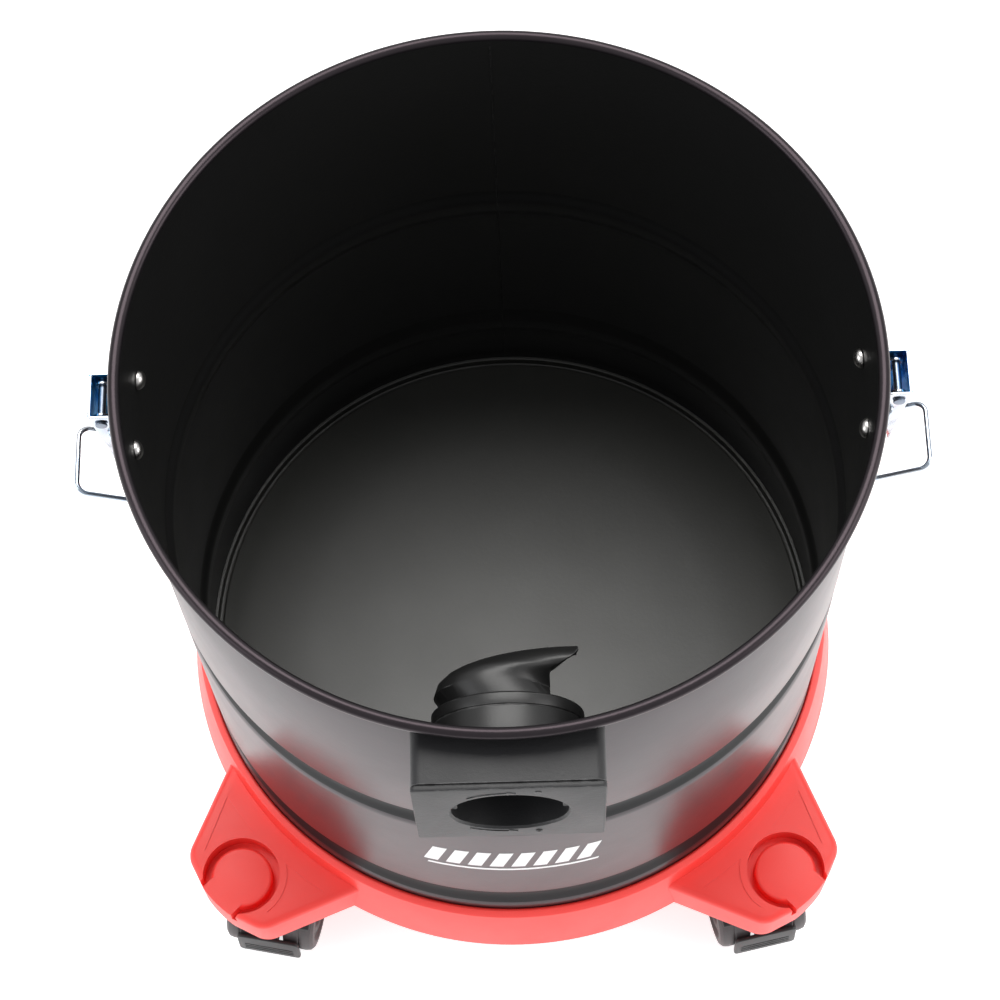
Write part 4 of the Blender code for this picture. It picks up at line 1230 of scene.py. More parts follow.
    def build_collar(self) -> bpy.types.Object:
        """The clamping ring inside the drum, with a rounded shoulder and a turned line."""
        start = self.tank.outer - self.tank.wall + self.collar_width
        inner, outer = self.neck + 0.0002, self.neck + 0.0003 + self.collar_width
        length = self.collar_length + self.collar_width
        profile = rounded_profile(
            [(inner, 0.0), (outer, 0.0), (outer, length - 0.0072), (outer - 0.0005, length - 0.0070),
             (outer - 0.0005, length - 0.0064), (outer, length - 0.0062), (outer, length - 0.0010),
             (outer - 0.0011, length), (inner + 0.0025, length), (inner, length - 0.002)], 0.0003, 2)
        collar = Bench.lathe("inlet_ring", profile, 128)
        place = Matrix.Translation((0, -start, self.axis_z)) @ Matrix.Rotation(-math.pi / 2, 4, "X")
        collar.data.transform(place)
        radius = self.tank.outer - self.tank.wall - 0.0002
        inside = Bench.rod("inside", radius, (0, 0, 0.2), (0, 0, 0.6), self.tank.steps)
        Bench.cut(collar, inside, "INTERSECT")
        matrix = self.tank.anchor.matrix()
        return settle(collar, "tank", (BLACK_SMOOTH,), matrix, ("inlet_collar",), 40)

    def ring(self, hood: bpy.types.Object, centre: Vector, side: Vector, half: float) -> None:
        """Adds one ring of the deflector to the mesh being edited.

        Args:
            hood: the deflector in edit mode.
            centre: the ring's middle.
            side: the level direction across the ring.
            half: half its width along that direction.
        """
        bpy.ops.mesh.select_all(action="DESELECT")
        bpy.ops.mesh.primitive_circle_add(vertices=64, radius=1, fill_type="NOTHING")
        up = Vector((0, 0, 1))
        frame = Matrix((side * half, up * self.neck, side.cross(up))).transposed().to_4x4()
        frame.translation = centre
        mesh = bmesh.from_edit_mesh(hood.data)
        bmesh.ops.transform(mesh, matrix=frame, verts=[v for v in mesh.verts if v.select])
        bmesh.update_edit_mesh(hood.data)

    def build_deflector(self) -> bpy.types.Object:
        """The neck through the wall and the hood that turns the air sideways."""
        z = self.axis_z
        collar_end = -(self.tank.outer - self.tank.wall) + self.collar_length
        pivot = Vector((self.pivot_x, collar_end + self.pivot_x / 4, z))
        rings: list[tuple[Vector, Vector, float]] = []
        for y in (-self.tank.outer - 0.0118, collar_end - 0.001, collar_end + 0.0012):
            rings.append((Vector((0, y, z)), Vector((1, 0, 0)), self.neck))
        outer0, inner0 = self.pivot_x + self.hood_side, self.pivot_x - self.hood_open
        count = 22
        for i in range(count + 1):
            share = i / count
            a = math.radians(self.sweep) * share
            reach = 1 / math.hypot(math.cos(a) / outer0, math.sin(a) / self.hood_reach)
            inner = inner0 * (1 - share) ** 1.3 + 0.004 * share
            away = Vector((-math.cos(a), math.sin(a), 0))
            rings.append((pivot + away * ((reach + inner) / 2), -away, (reach - inner) / 2))
        Bench.clear()
        bpy.ops.mesh.primitive_circle_add(vertices=64, radius=1, fill_type="NOTHING")
        hood = Bench.made("inlet_hood")
        bpy.ops.object.mode_set(mode="EDIT")
        bpy.ops.mesh.select_all(action="SELECT")
        bpy.ops.mesh.delete(type="VERT")
        for centre, side, half in rings:
            self.ring(hood, centre, side, half)
        mesh = bmesh.from_edit_mesh(hood.data)
        mesh.verts.ensure_lookup_table()
        size = 64
        for i in range(len(rings) - 1):
            for edge in mesh.edges:
                low, high = sorted(v.index // size for v in edge.verts)
                edge.select_set(low == high and low in (i, i + 1))
            bmesh.update_edit_mesh(hood.data)
            bpy.ops.mesh.bridge_edge_loops()
            mesh = bmesh.from_edit_mesh(hood.data)
            mesh.verts.ensure_lookup_table()
        Bench.outward()
        Bench.clear()
        crease = collar_end + self.hood_crease
        for vertex in hood.data.vertices:
            past = max(0.0, vertex.co.y - crease)
            vertex.co.z = z + (vertex.co.z - z) * (1 - 30 * past)
        Bench.modify(hood, "SOLIDIFY", thickness=0.002, offset=-1)
        self.trim_mouth(hood, collar_end)
        Bench.bevel(hood, 0.0005, 3, 50)
        matrix = self.tank.anchor.matrix()
        return settle(hood, "tank", (BLACK_SMOOTH,), matrix, ("inlet_deflector",), 40)

    def trim_mouth(self, hood: bpy.types.Object, collar_end: float) -> None:
        """Cuts the hood's mouth: a straight edge beside the neck and a notch under a rounded beak.

        Args:
            hood: the deflector.
            collar_end: the depth at which the collar ends.
        """
        edge, high = 0.0207, collar_end + 0.0148
        line = [(edge, collar_end + 0.0022)]
        line += arc((edge + 0.0015, high - 0.0012), 0.0015, 180, 100, 3)
        line += arc((edge + 0.0058, high + 0.0122), 0.0082, -62, 16, 8)
        line += arc((edge + 0.0103, high + 0.0136), 0.0036, 24, 105, 5)
        line += [(edge + 0.0050, high + 0.03), (0.09, high + 0.03), (0.09, collar_end + 0.0022)]
        Bench.cut(hood, Bench.slab("mouth", line, self.axis_z - 0.05, self.axis_z + 0.05))
        low = (edge, collar_end + 0.0022, self.axis_z - 0.05)
        Bench.cut(hood, Bench.block("under", low, (0.09, high + 0.03, self.axis_z - 0.003)))

    def build_screws(self) -> None:
        """The four pan-head screws that hold the housing from inside."""
        head = 0.002
        profile = arc((0, 0), 0.0038, 90, 18, 6)
        profile = [(r, 0.012 + z * 0.42) for r, z in profile]
        profile += [(0.0038, 0.012), (head, 0.012), (head, 0.0), (0, 0.0)]
        screw = Bench.lathe("inlet_fastener", profile, 32, closed=False)
        for turn in (0.0, math.pi / 2):
            way = Vector((math.cos(turn), math.sin(turn), 0)) * 0.0024
            side = Vector((-way.y, way.x, 0)).normalized() * 0.0004
            ends = (-way - side, way + side)
            low = (min(end.x for end in ends), min(end.y for end in ends), 0.0128)
            high = (max(end.x for end in ends), max(end.y for end in ends), 0.015)
            Bench.cut(screw, Bench.block("slot", low, high))
        width = self.half_width - self.screw_inset
        rise = self.height / 2 - self.screw_inset
        inner = self.tank.outer - self.tank.wall
        index = 0
        for sx in (-1, 1):
            for sz in (-1, 1):
                index += 1
                x, z = sx * width, self.top - self.height / 2 + sz * rise
                wall = math.sqrt((inner - 0.0003) ** 2 - (width + 2 * head) ** 2)
                place = Matrix.Translation((x, -wall - 0.012 + FIT, z))
                place = place @ Matrix.Rotation(-math.pi / 2, 4, "X")
                twin = Bench.copy(screw, f"inlet_fastener_{index}", place)
                nodes = (f"inlet_screw_{index}",)
                settle(twin, "tank", (STEEL,), self.tank.anchor.matrix(), nodes)
        bpy.data.objects.remove(screw, do_unlink=True)

    def build(self) -> None:
        """Builds the inlet."""
        self.build_housing()
        self.build_collar()
        self.build_deflector()
        self.build_screws()


# ---------------------------------------------------------------- latches


@dataclass
class Latch:
    """A toggle latch on the drum's side. Its frame has +X away from the drum."""

    tank: Tank
    side: Side
    pin_drop: float = 0.028
    pin_standoff: float = 0.012
    half_width: float = 0.0125
    taper: float = 4.0
    sheet: float = 0.0012
    top_rise: float = 0.007
    length: float = 0.045
    lip: float = 0.012
    front: float = 0.006
    back: float = 0.006
    tilt: float = 0.0038
    plate: float = 0.0015
    plate_half: float = 0.025
    wire: float = 0.0014
    bail_half: float = 0.0185
    bail_arm: float = 0.077
    hook: float = 0.0348
    hook_rise: float = 0.017
    rivet_half: float = 0.0195
    rivet_drop: float = 0.017

    @property
    def label(self) -> str:
        """The latch's name part."""
        return self.side.name.lower()

    @property
    def pin(self) -> Vector:
        """The lever pin's middle, about the drum's axis."""
        return Vector((self.tank.outer + self.pin_standoff, 0, self.tank.rim_height - self.pin_drop))

    @property
    def pivot(self) -> Vector:
        """The bail's pivot, about the drum's axis."""
        return self.pin + Vector((-0.003, 0, -0.010))

    def matrix(self) -> Matrix:
        """From the latch's frame to the model's."""
        turn = Matrix.Rotation(0.0 if self.side is Side.RIGHT else math.pi, 4, "Z")
        return self.tank.anchor.matrix() @ turn

    def half_at(self, z: float) -> float:
        """The lever's half width at a height."""
        return self.half_width * (1 - self.taper * (self.pin.z + self.top_rise - z))

    def build_lever(self) -> bpy.types.Object:
        """The channel lever: folded sheet with tapered cheeks and a finger lip."""
        front, top = self.pin.x + self.front, self.pin.z + self.top_rise
        low, tip = self.pin.z - self.length, self.pin.x + self.front - self.tilt
        back, mid = self.pin.x - self.back, self.pin.z - self.length / 2
        corners = (back, -self.half_width, low), (front, self.half_width, top)
        lever = Bench.block("latch_channel_" + self.label, *corners)
        Bench.edit(lever)
        Bench.pick(lever, "faces", lambda c, n: n.x < -0.9 or abs(n.z) > 0.9)
        bpy.ops.mesh.delete(type="FACE")
        bpy.ops.mesh.select_all(action="SELECT")
        bpy.ops.mesh.bisect(plane_co=(0, 0, mid), plane_no=(0, 0, 1))
        mesh = bmesh.from_edit_mesh(lever.data)
        for vertex in mesh.verts:
            sign = 1 if vertex.co.y > 0 else -1
            share = (top - vertex.co.z) / (top - low)
            if vertex.co.x > self.pin.x:
                vertex.co.x = front + (tip - front) * share
            elif vertex.co.z < mid - 0.001:
                vertex.co.x = tip - 1.5 * self.sheet
            vertex.co.y = sign * self.half_at(vertex.co.z)
        bmesh.update_edit_mesh(lever.data)
        bpy.ops.mesh.select_all(action="DESELECT")
        Bench.pick(lever, "edges", lambda c, d: abs(d.z) > 0.9 and c.x > self.pin.x)
        bpy.ops.mesh.bevel(offset=0.0016, segments=5)
        bpy.ops.mesh.select_all(action="DESELECT")
        end = tip - 0.0004
        Bench.pick(lever, "edges", lambda c, d: abs(d.y) > 0.9 and abs(c.z - low) < 1e-5 and c.x > end)
        bpy.ops.mesh.extrude_region_move(TRANSFORM_OT_translate={"value": (0, 0, -self.lip)})
        bpy.ops.transform.resize(value=(1, 0.86, 1), center_override=(0, 0, 0))
        Bench.outward()
        bpy.ops.mesh.select_all(action="DESELECT")
        if Bench.pick(lever, "faces", lambda c, n: n.x < -0.5 and c.x > self.pin.x):
            bpy.ops.mesh.select_all(action="SELECT")
            bpy.ops.mesh.flip_normals()
        Bench.clear()
        Bench.modify(lever, "SOLIDIFY", thickness=self.sheet, offset=-1)
        reach = 2 * self.half_width
        for place, radius in ((self.pin, 0.0021), (self.pivot, self.wire + 0.0002)):
            tool = Bench.rod("hole", radius, (place.x, -reach, place.z), (place.x, reach, place.z))
            Bench.cut(lever, tool)
        Bench.bevel(lever, 0.0002, 2, 50)
        # The channel's inner faces take the blue zinc: a painted blue reflection inside the channel.
        mark_faces(lever, 1, self.inside_channel)
        nodes = ("latch_lever_" + self.label,)
        return settle(lever, "lever_" + self.label, (ZINC, ZINC_PAINTED_BLUE_REFLECTION), self.matrix(), nodes, 35)

    def inside_channel(self, middle: Vector, normal: Vector) -> bool:
        """Whether a face of the lever looks into its channel."""
        if middle.z < self.pin.z - self.length:
            return False
        across = self.half_at(middle.z) - self.sheet
        web = normal.x < -0.5 and middle.x > self.pin.x and abs(middle.y) < across
        cheek = normal.y * middle.y < 0 and abs(middle.y) < across + 0.0003
        return web or cheek

    def build_pin(self) -> bpy.types.Object:
        """The lever's headed pin."""
        reach, head, radius = self.half_at(self.pin.z) + 0.0003, self.sheet, 0.002
        wide = radius * 1.5
        half = [(0, reach + head), (wide, reach + head), (wide, reach), (radius, reach)]
        half = rounded_profile(half, 0.0004, 3)
        profile = half + [(r, -z) for r, z in reversed(half)]
        pin = Bench.lathe("latch_axle_" + self.label, profile, 40, closed=False)
        pin.data.transform(Matrix.Translation(self.pin) @ Matrix.Rotation(math.pi / 2, 4, "X"))
        return settle(pin, "tank", (PIN_STEEL,), self.matrix(), ("latch_pin_" + self.label,))

    def build_bracket(self) -> bpy.types.Object:
        """The plate on the drum and the two ears of the lever's pin."""
        radius = self.tank.outer + 0.0003 + self.plate
        high, low = self.pin.z - 0.008, self.pin.z - 0.031
        spread = math.asin(self.plate_half / radius)
        line = [Vector((radius * math.cos(spread), radius * math.sin(spread), z)) for z in (high, low)]
        plate = Bench.chain("latch_plate_" + self.label, line)
        bpy.ops.mesh.select_all(action="SELECT")
        bpy.ops.mesh.spin(steps=24, angle=2 * spread, center=(0, 0, 0), axis=(0, 0, 1))
        Bench.outward()
        bpy.ops.mesh.select_all(action="DESELECT")
        if Bench.pick(plate, "faces", lambda c, n: n.x < 0):
            bpy.ops.mesh.flip_normals()
        Bench.clear()
        Bench.modify(plate, "SOLIDIFY", thickness=self.plate, offset=-1)
        outline = arc((self.pin.x, self.pin.z), 0.0039, 150, -60, 20)
        root = radius - self.plate / 2
        outline += [(root, self.pin.z - 0.027), (root, self.pin.z - 0.012)]
        inner = self.half_at(self.pin.z) - self.sheet - self.plate - 0.0015
        for sign in (-1, 1):
            near, far = sign * inner, sign * (inner + self.plate)
            ear = Bench.slab("ear", outline, -max(near, far), -min(near, far))
            ear.data.transform(Matrix.Rotation(math.pi / 2, 4, "X"))
            Bench.cut(plate, ear, "UNION")
        reach = 2 * self.half_width
        ends = (self.pin.x, -reach, self.pin.z), (self.pin.x, reach, self.pin.z)
        Bench.cut(plate, Bench.rod("hole", 0.0021, *ends))
        Bench.bevel(plate, 0.0002, 2, 50)
        return settle(plate, "tank", (ZINC,), self.matrix(), ("latch_bracket_" + self.label,), 35)

    def build_bail(self) -> bpy.types.Object:
        """The sprung wire bail, its ends bent in through the lever's cheeks."""
        end = self.half_at(self.pivot.z) - self.sheet - 0.0006
        arm = self.half_at(self.pivot.z) + 0.0003 + 1.2 * self.wire
        wall = math.sqrt(self.tank.outer**2 - self.bail_half**2)
        low = wall + 1.5 * self.wire + 0.0003 - self.pivot.x
        half = [
            Vector((0, end, 0)), Vector((0, arm, 0)), Vector((low, self.bail_half, -self.bail_arm)),
            Vector((low + self.hook, self.bail_half, -self.bail_arm + self.hook_rise)),
        ]
        far = [Vector((p.x, -p.y, p.z)) for p in reversed(half)]
        start = rounded([half[0], half[1], (half[1] + half[2]) / 2], self.wire * 1.6, 6)
        corners = [start[-1], half[2], half[3], far[0], far[1], (far[1] + far[2]) / 2]
        body = rounded(corners, 0.006, 10)
        tail = [Vector((p.x, -p.y, p.z)) for p in reversed(start)]
        bail = Bench.wire("latch_wire_" + self.label, start[:-1] + body + tail[1:], self.wire)
        bail.data.transform(Matrix.Translation(self.pivot))
        nodes = ("latch_bail_" + self.label,)
        return settle(bail, "bail_" + self.label, (ZINC,), self.matrix(), nodes, 40)

    def build_rivets(self) -> None:
        """The two rivets, with their domes inside the drum."""
        inner = self.tank.outer - self.tank.wall - 0.0006
        head = self.tank.outer + 0.0006 + self.plate
        profile = [(0, head + 0.0012), (0.0026, head + 0.0012), (0.0034, head + 0.0006)]
        profile += [(0.0034, head), (0.002, head), (0.002, inner)]
        profile += [(0.0051 * x, inner + 0.0038 * y) for x, y in arc((0, 0), 1, 0, -90, 10)]
        rivet = Bench.lathe("rivet", profile, 40, closed=False)
        angle = math.asin(self.rivet_half / self.tank.outer)
        for index, sign in ((1, -1), (2, 1)):
            turn = Matrix.Rotation(sign * angle, 4, "Z")
            lift = Matrix.Translation((0, 0, self.pin.z - self.rivet_drop))
            place = turn @ lift @ Matrix.Rotation(math.pi / 2, 4, "Y")
            twin = Bench.copy(rivet, f"latch_stud_{self.label}_{index}", place)
            nodes = (f"latch_rivet_{self.label}_{index}",)
            settle(twin, "tank", (STEEL,), self.matrix(), nodes, 40)
        bpy.data.objects.remove(rivet, do_unlink=True)

    def build(self) -> None:
        """Builds the latch."""
        self.build_lever()
        self.build_pin()
        self.build_bracket()
        self.build_bail()
        self.build_rivets()


# ---------------------------------------------------------------- trolley


@dataclass
class Trolley:
    """The red ring under the drum with its four arms."""

    tank: Tank
    top: float = 0.109
    shoulder: float = 0.1899
    shoulder_top: float = 0.1035
    skirt: float = 0.1965
    skirt_low: float = 0.062
    thickness: float = 0.0035
    ledge: float = 0.150
    arm_top: float = 0.092
    arm_edge: float = 0.0042
    nose: float = 0.248
    end: float = 0.240
    end_half: float = 0.0325
    root: float = 0.150
    root_half: float = 0.0697
    corner: float = 0.014
    tongue: float = 0.2265
    tongue_radius: float = 0.0180
    tongue_neck: float = 42.0
    slot: float = 0.0048
    slot_depth: float = 0.012
    tongue_sink: float = 0.003
    pocket_wall: float = 0.004
    pocket_depth: float = 0.010
    stem: float = 0.200
    boss: float = 0.0115
    angles: tuple[float, ...] = (-46.0, -136.0, 134.0, 44.0)

    def outline(self, inset: float = 0.0, root: Optional[float] = None) -> list[Point]:
        """The arm's outline along +X, set in from its edges."""
        half, nose, end = self.end_half - inset, self.nose - inset, self.end - inset
        rise = nose - end
        radius = (half**2 + rise**2) / (2 * rise)
        spread = math.degrees(math.asin(half / radius))
        front = arc((nose - radius, 0), radius, -spread, spread, 24)
        start = self.root if root is None else root
        slope = (self.end_half - self.root_half) / (self.end - self.root)
        root_half = self.root_half + slope * (start - self.root) - inset
        points = [Vector((x, y, 0)) for x, y in [(start, -root_half), *front, (start, root_half)]]
        corner = max(self.corner - inset, 0.004)
        low = rounded([points[0], points[1], points[8]], corner, 10)[1:-1]
        high = rounded([points[-9], points[-2], points[-1]], corner, 10)[1:-1]
        return [(p.x, p.y) for p in [points[0]] + low + points[9:-9] + high + [points[-1]]]

    def tongue_line(self, radius: float) -> list[Point]:
        """A circle round the tongue's middle with a straight neck past the nose."""
        past = self.nose + self.corner
        neck = radius * math.sin(math.radians(self.tongue_neck))
        turn = arc((self.tongue, 0), radius, self.tongue_neck, 360 - self.tongue_neck, 60)
        return [(past, neck)] + turn + [(past, -neck)]

    def build_arm(self) -> bpy.types.Object:
        """One arm along +X: rounded top edge, U groove, tongue and panel line."""
        arm = Bench.slab("arm", self.outline(), self.skirt_low, self.arm_top)
        Bench.edit(arm)
        Bench.pick(arm, "edges", lambda c, d: c.z > self.arm_top - 1e-5 and c.x > self.root + 0.0005)
        bpy.ops.mesh.bevel(offset=self.arm_edge, segments=6)
        Bench.clear()
        floor = self.arm_top - self.slot_depth
        slot_line = self.tongue_line(self.tongue_radius + self.slot)
        outer = Bench.slab("slot", slot_line, floor, self.arm_top + 0.02)
        crown = self.arm_top - self.tongue_sink
        inner = Bench.slab("tongue", self.tongue_line(self.tongue_radius), floor - 0.01, crown)
        Bench.edit(inner)
        Bench.pick(inner, "edges", lambda c, d: c.z > crown - 1e-5 and c.x < self.nose)
        bpy.ops.mesh.bevel(offset=0.0018, segments=5)
        Bench.clear()
        Bench.cut(outer, inner)
        Bench.cut(arm, outer)
        panel = Bench.slab("panel", self.outline(0.0068, 0.165), self.arm_top - 0.0005, self.arm_top + 0.01)
        ring_zone = Bench.rod("ring", 0.2035, (0, 0, 0), (0, 0, 0.2), 160)
        slot_zone = Bench.slab("zone", self.tongue_line(self.tongue_radius + self.slot + 0.0042), 0, 0.2)
        Bench.cut(panel, ring_zone)
        Bench.cut(panel, slot_zone)
        Bench.cut(arm, panel)
        roof = self.skirt_low + self.pocket_depth
        pocket = Bench.slab("pocket", self.outline(self.pocket_wall), self.skirt_low - 0.01, roof)
        Bench.cut(pocket, Bench.rod("boss", self.boss, (self.stem, 0, 0), (self.stem, 0, 0.12), 48))
        Bench.cut(arm, pocket)
        return arm

    def build(self) -> bpy.types.Object:
        """Builds the trolley as one moulding."""
        wall = self.tank.outer + FIT
        ledge = self.tank.bottom - FIT
        inner = wall + self.thickness
        outline = [
            (wall, self.top - 0.002), (wall, self.top), (self.shoulder, self.shoulder_top),
            (self.skirt, self.skirt_low), (self.skirt - self.thickness, self.skirt_low),
            (inner, self.top - 3 * self.thickness), (inner, ledge - self.thickness),
            (self.ledge, ledge - self.thickness), (self.ledge, ledge), (wall, ledge),
        ]
        profile = rounded_profile(outline, 0.0011, 4)
        ring = Bench.lathe("trolley_moulding", profile, self.tank.steps)
        arm = self.build_arm()
        trim = Bench.rod("trim", (wall + self.skirt) / 2, (0, 0, 0), (0, 0, 0.3), self.tank.steps)
        Bench.cut(arm, trim)
        for angle in self.angles:
            turned = Bench.copy(arm, "arm", Matrix.Rotation(math.radians(angle), 4, "Z"))
            Bench.cut(ring, turned, "UNION")
        bpy.data.objects.remove(arm, do_unlink=True)
        for angle in self.angles:
            x, y = self.stem * math.cos(math.radians(angle)), self.stem * math.sin(math.radians(angle))
            Bench.cut(ring, Bench.rod("stem_hole", 0.0053, (x, y, 0), (x, y, 0.0788), 32))
        return settle(ring, "tank", (RED,), self.tank.anchor.matrix(), ("trolley_base",), 30)


# ---------------------------------------------------------------- casters


@dataclass
class Caster:
    """A twin-wheel caster. Its frame stands on the swivel axis with +X towards the wheels."""

    tank: Tank
    label: str
    angle: float
    heading: float
    braked: bool
    swing: float = 0.200
    trail: float = 0.019
    radius: float = 0.025
    width: float = 0.019
    gap: float = 0.016
    web: float = 0.0135
    hood_gap: float = 0.002
    hood_wall: float = 0.0025
    hood_width: float = 0.050
    hood_span: tuple[float, float] = (50.0, 200.0)
    top: float = 0.0617
    swivel_radius: float = 0.013
    swivel_height: float = 0.0125
    pedal_x: float = 0.0465
    pedal_pin: tuple[float, float] = (0.0335, 0.035)
    pedal_width: float = 0.038
    pedal_z: tuple[float, float] = (0.012, 0.037)
    pedal_sheet: float = 0.0025
    pedal_lean: float = 0.0017
    stem_radius: float = 0.005

    @property
    def body(self) -> str:
        """The swivelling body's name."""
        return "caster_" + self.label

    def matrix(self) -> Matrix:
        """From the caster's frame to the model's."""
        a = math.radians(self.angle)
        spot = Vector((self.swing * math.cos(a), self.swing * math.sin(a), 0))
        turn = Matrix.Rotation(math.radians(self.heading), 4, "Z")
        return self.tank.anchor.matrix() @ Matrix.Translation(spot) @ turn

    def build_wheels(self) -> None:
        """Two wheels with a ribbed tread edge, a dished face and a hub cap."""
        rim, face = self.radius, self.width
        shares = [
            (0, 0.90), (0.16, 0.90), (0.20, 0.84), (0.36, 0.82), (0.42, 0.92), (0.50, 0.96), (0.56, 0.90),
            (0.70, 0.90), (0.76, 1.0), (0.90, 0.985), (0.975, 0.90), (1, 0.76), (1, 0.56), (0.985, 0.545),
            (0.985, 0.515), (1, 0.50), (1, 0.16), (0.97, 0.04), (0.9, 0), (0.13, 0), (0.13, 0.7), (0, 0.7),
        ]
        profile = [(rim * across, face * along) for across, along in shares]
        fine = rounded_profile(profile[1:-1], 0.0003, 2)
        wheel = Bench.lathe("wheel", [profile[0]] + fine + [profile[-1]], 96, closed=False)
        for name, side in (("a", -1), ("b", 1)):
            turn = Matrix.Rotation(math.radians(-90 * side), 4, "X")
            place = Matrix.Translation((self.trail, side * self.gap / 2, self.radius)) @ turn
            twin = Bench.copy(wheel, f"caster_roller_{self.label}_{name}", place)
            body, node = f"wheel_{self.label}_{name}", f"caster_wheel_{self.label}_{name}"
            settle(twin, body, (WHEEL_GREY,), self.matrix(), (node,), 35)
        bpy.data.objects.remove(wheel, do_unlink=True)

    def build_frame(self) -> bpy.types.Object:
        """The web between the wheels, the hood over them and the swivel boss."""
        upright = Matrix.Rotation(math.pi / 2, 4, "X")
        centre = (self.trail, self.radius)
        inner = self.radius + self.hood_gap
        outer = inner + self.hood_wall
        start, end = self.hood_span
        web = arc(centre, 0.009, -150, 10, 20) + arc(centre, outer - self.hood_wall / 2, start, end - 15, 40)
        frame = Bench.slab("caster_frame_" + self.label, web, -self.web / 2, self.web / 2)
        hood = arc(centre, outer, start, end, 48) + arc(centre, inner, end, start, 48)
        cover = Bench.slab("hood", hood, -self.hood_width / 2, self.hood_width / 2)
        Bench.bevel(cover, 0.0009, 3, 60)
        Bench.cut(frame, cover, "UNION")
        frame.data.transform(upright)
        wide, low = self.swivel_radius, self.top - self.swivel_height
        ring = [(0.001, self.top), (wide, self.top), (wide, low), (0.001, low)]
        swivel = Bench.lathe("swivel", rounded_profile(ring, 0.0008, 3), 64)
        Bench.cut(frame, swivel, "UNION")
        if self.braked:
            self.add_pedal_lug(frame, upright)
        Bench.cut(frame, Bench.rod("seat", self.stem_radius + 0.0002, (0, 0, 0.0495), (0, 0, 0.08)))
        ends = (self.trail, -0.03, self.radius), (self.trail, 0.03, self.radius)
        Bench.cut(frame, Bench.rod("axle", 0.0032, *ends))
        nodes = ("caster_fork_" + self.label,)
        return settle(frame, self.body, (CASTER_BLACK,), self.matrix(), nodes, 35)

    def add_pedal_lug(self, frame: bpy.types.Object, upright: Matrix) -> None:
        """Joins the lug of the brake pedal's pin to the frame and clears room beside it.

        Args:
            frame: the caster's frame.
            upright: turns an outline of (x, z) upright.
        """
        px, pz = self.pedal_pin
        lug = [(self.trail, pz - 0.0035), (px, pz - 0.0035)]
        lug += arc((px, pz), 0.0035, -60, 90, 12) + [(self.trail, pz + 0.0035)]
        piece = Bench.slab("lug", lug, -0.0025, 0.0025)
        piece.data.transform(upright)
        Bench.cut(frame, piece, "UNION")
        for sign in (-1, 1):
            near, far = sign * 0.0025, sign * 0.0135
            low = (px - 0.0047, min(near, far), pz - 0.0164)
            high = (px + 0.0082, max(near, far), pz + 0.0082)
            Bench.cut(frame, Bench.block("room", low, high))
        Bench.cut(frame, Bench.rod("pin_hole", 0.0017, (px, -0.02, pz), (px, 0.02, pz)))

    def build_shafts(self) -> None:
        """The stem, the axle and the pedal's pin."""
        line = [
            (self.stem_radius, 0.0785), (self.stem_radius, 0.0716), (self.stem_radius - 0.0008, 0.0712),
            (self.stem_radius - 0.0008, 0.0700), (self.stem_radius, 0.0696), (self.stem_radius, 0.050),
        ]
        stem = Bench.lathe("caster_post_" + self.label, [(0, 0.0785), *line, (0, 0.050)], 40, closed=False)
        settle(stem, self.body, (STEEL,), self.matrix(), ("caster_stem_" + self.label,))
        reach = self.gap / 2 + self.width - 0.0055
        ends = (self.trail, -reach, self.radius), (self.trail, reach, self.radius)
        axle = Bench.rod("caster_shaft_" + self.label, 0.003, *ends, 40)
        Bench.bevel(axle, 0.0004, 2, 60)
        settle(axle, self.body, (STEEL,), self.matrix(), ("caster_axle_" + self.label,))
        if self.braked:
            px, pz = self.pedal_pin
            pin = Bench.rod("brake_axle_" + self.label, 0.0015, (px, -0.0055, pz), (px, 0.0055, pz), 24)
            Bench.bevel(pin, 0.0002, 2, 60)
            settle(pin, self.body, (STEEL,), self.matrix(), ("brake_pin_" + self.label,))

    def build_pedal(self) -> bpy.types.Object:
        """The brake pedal: a bevelled flap with ribs, hung on two cheeks."""
        px, pz = self.pedal_pin
        low, high = self.pedal_z
        half = self.pedal_sheet / 2
        flap = Bench.block("brake_flap_" + self.label, (self.pedal_x - half, -self.pedal_width / 2, low),
                           (self.pedal_x + half, self.pedal_width / 2, high))
        Bench.edit(flap)
        Bench.pick(flap, "edges", lambda c, d: abs(d.x) > 0.9)
        bpy.ops.mesh.bevel(offset=0.003, segments=5)
        Bench.clear()
        Bench.bevel(flap, 0.0007, 3, 60)
        for vertex in flap.data.vertices:
            vertex.co.x -= self.pedal_lean * (vertex.co.z - low) / (high - low)
        for z in (low + 0.0045, low + 0.0080, low + 0.0115):
            face = self.pedal_x + half - self.pedal_lean * (z - low) / (high - low)
            rib = Bench.block("rib", (face - 0.0008, -self.pedal_width / 2 + 0.004, z),
                              (face + 0.0003, self.pedal_width / 2 - 0.004, z + 0.0012))
            Bench.cut(flap, Bench.bevel(rib, 0.0003, 2), "UNION")
        outline = arc((px, pz), 0.0035, 90, 270, 16)
        outline += [(self.pedal_x - 0.0008, pz - 0.00875), (self.pedal_x - self.pedal_lean, high - half)]
        for sign in (-1, 1):
            near, far = sorted((-sign * 0.0028, -sign * 0.0058))
            cheek = Bench.slab("cheek", outline, near, far)
            cheek.data.transform(Matrix.Rotation(math.pi / 2, 4, "X"))
            Bench.cut(flap, cheek, "UNION")
        Bench.cut(flap, Bench.rod("hole", 0.0017, (px, -0.02, pz), (px, 0.02, pz)))
        body, node = "pedal_" + self.label, "brake_pedal_" + self.label
        return settle(flap, body, (CASTER_BLACK,), self.matrix(), (node,), 35)

    def build(self) -> None:
        """Builds the caster."""
        self.build_wheels()
        self.build_frame()
        self.build_shafts()
        if self.braked:
            self.build_pedal()


# ---------------------------------------------------------------- studio


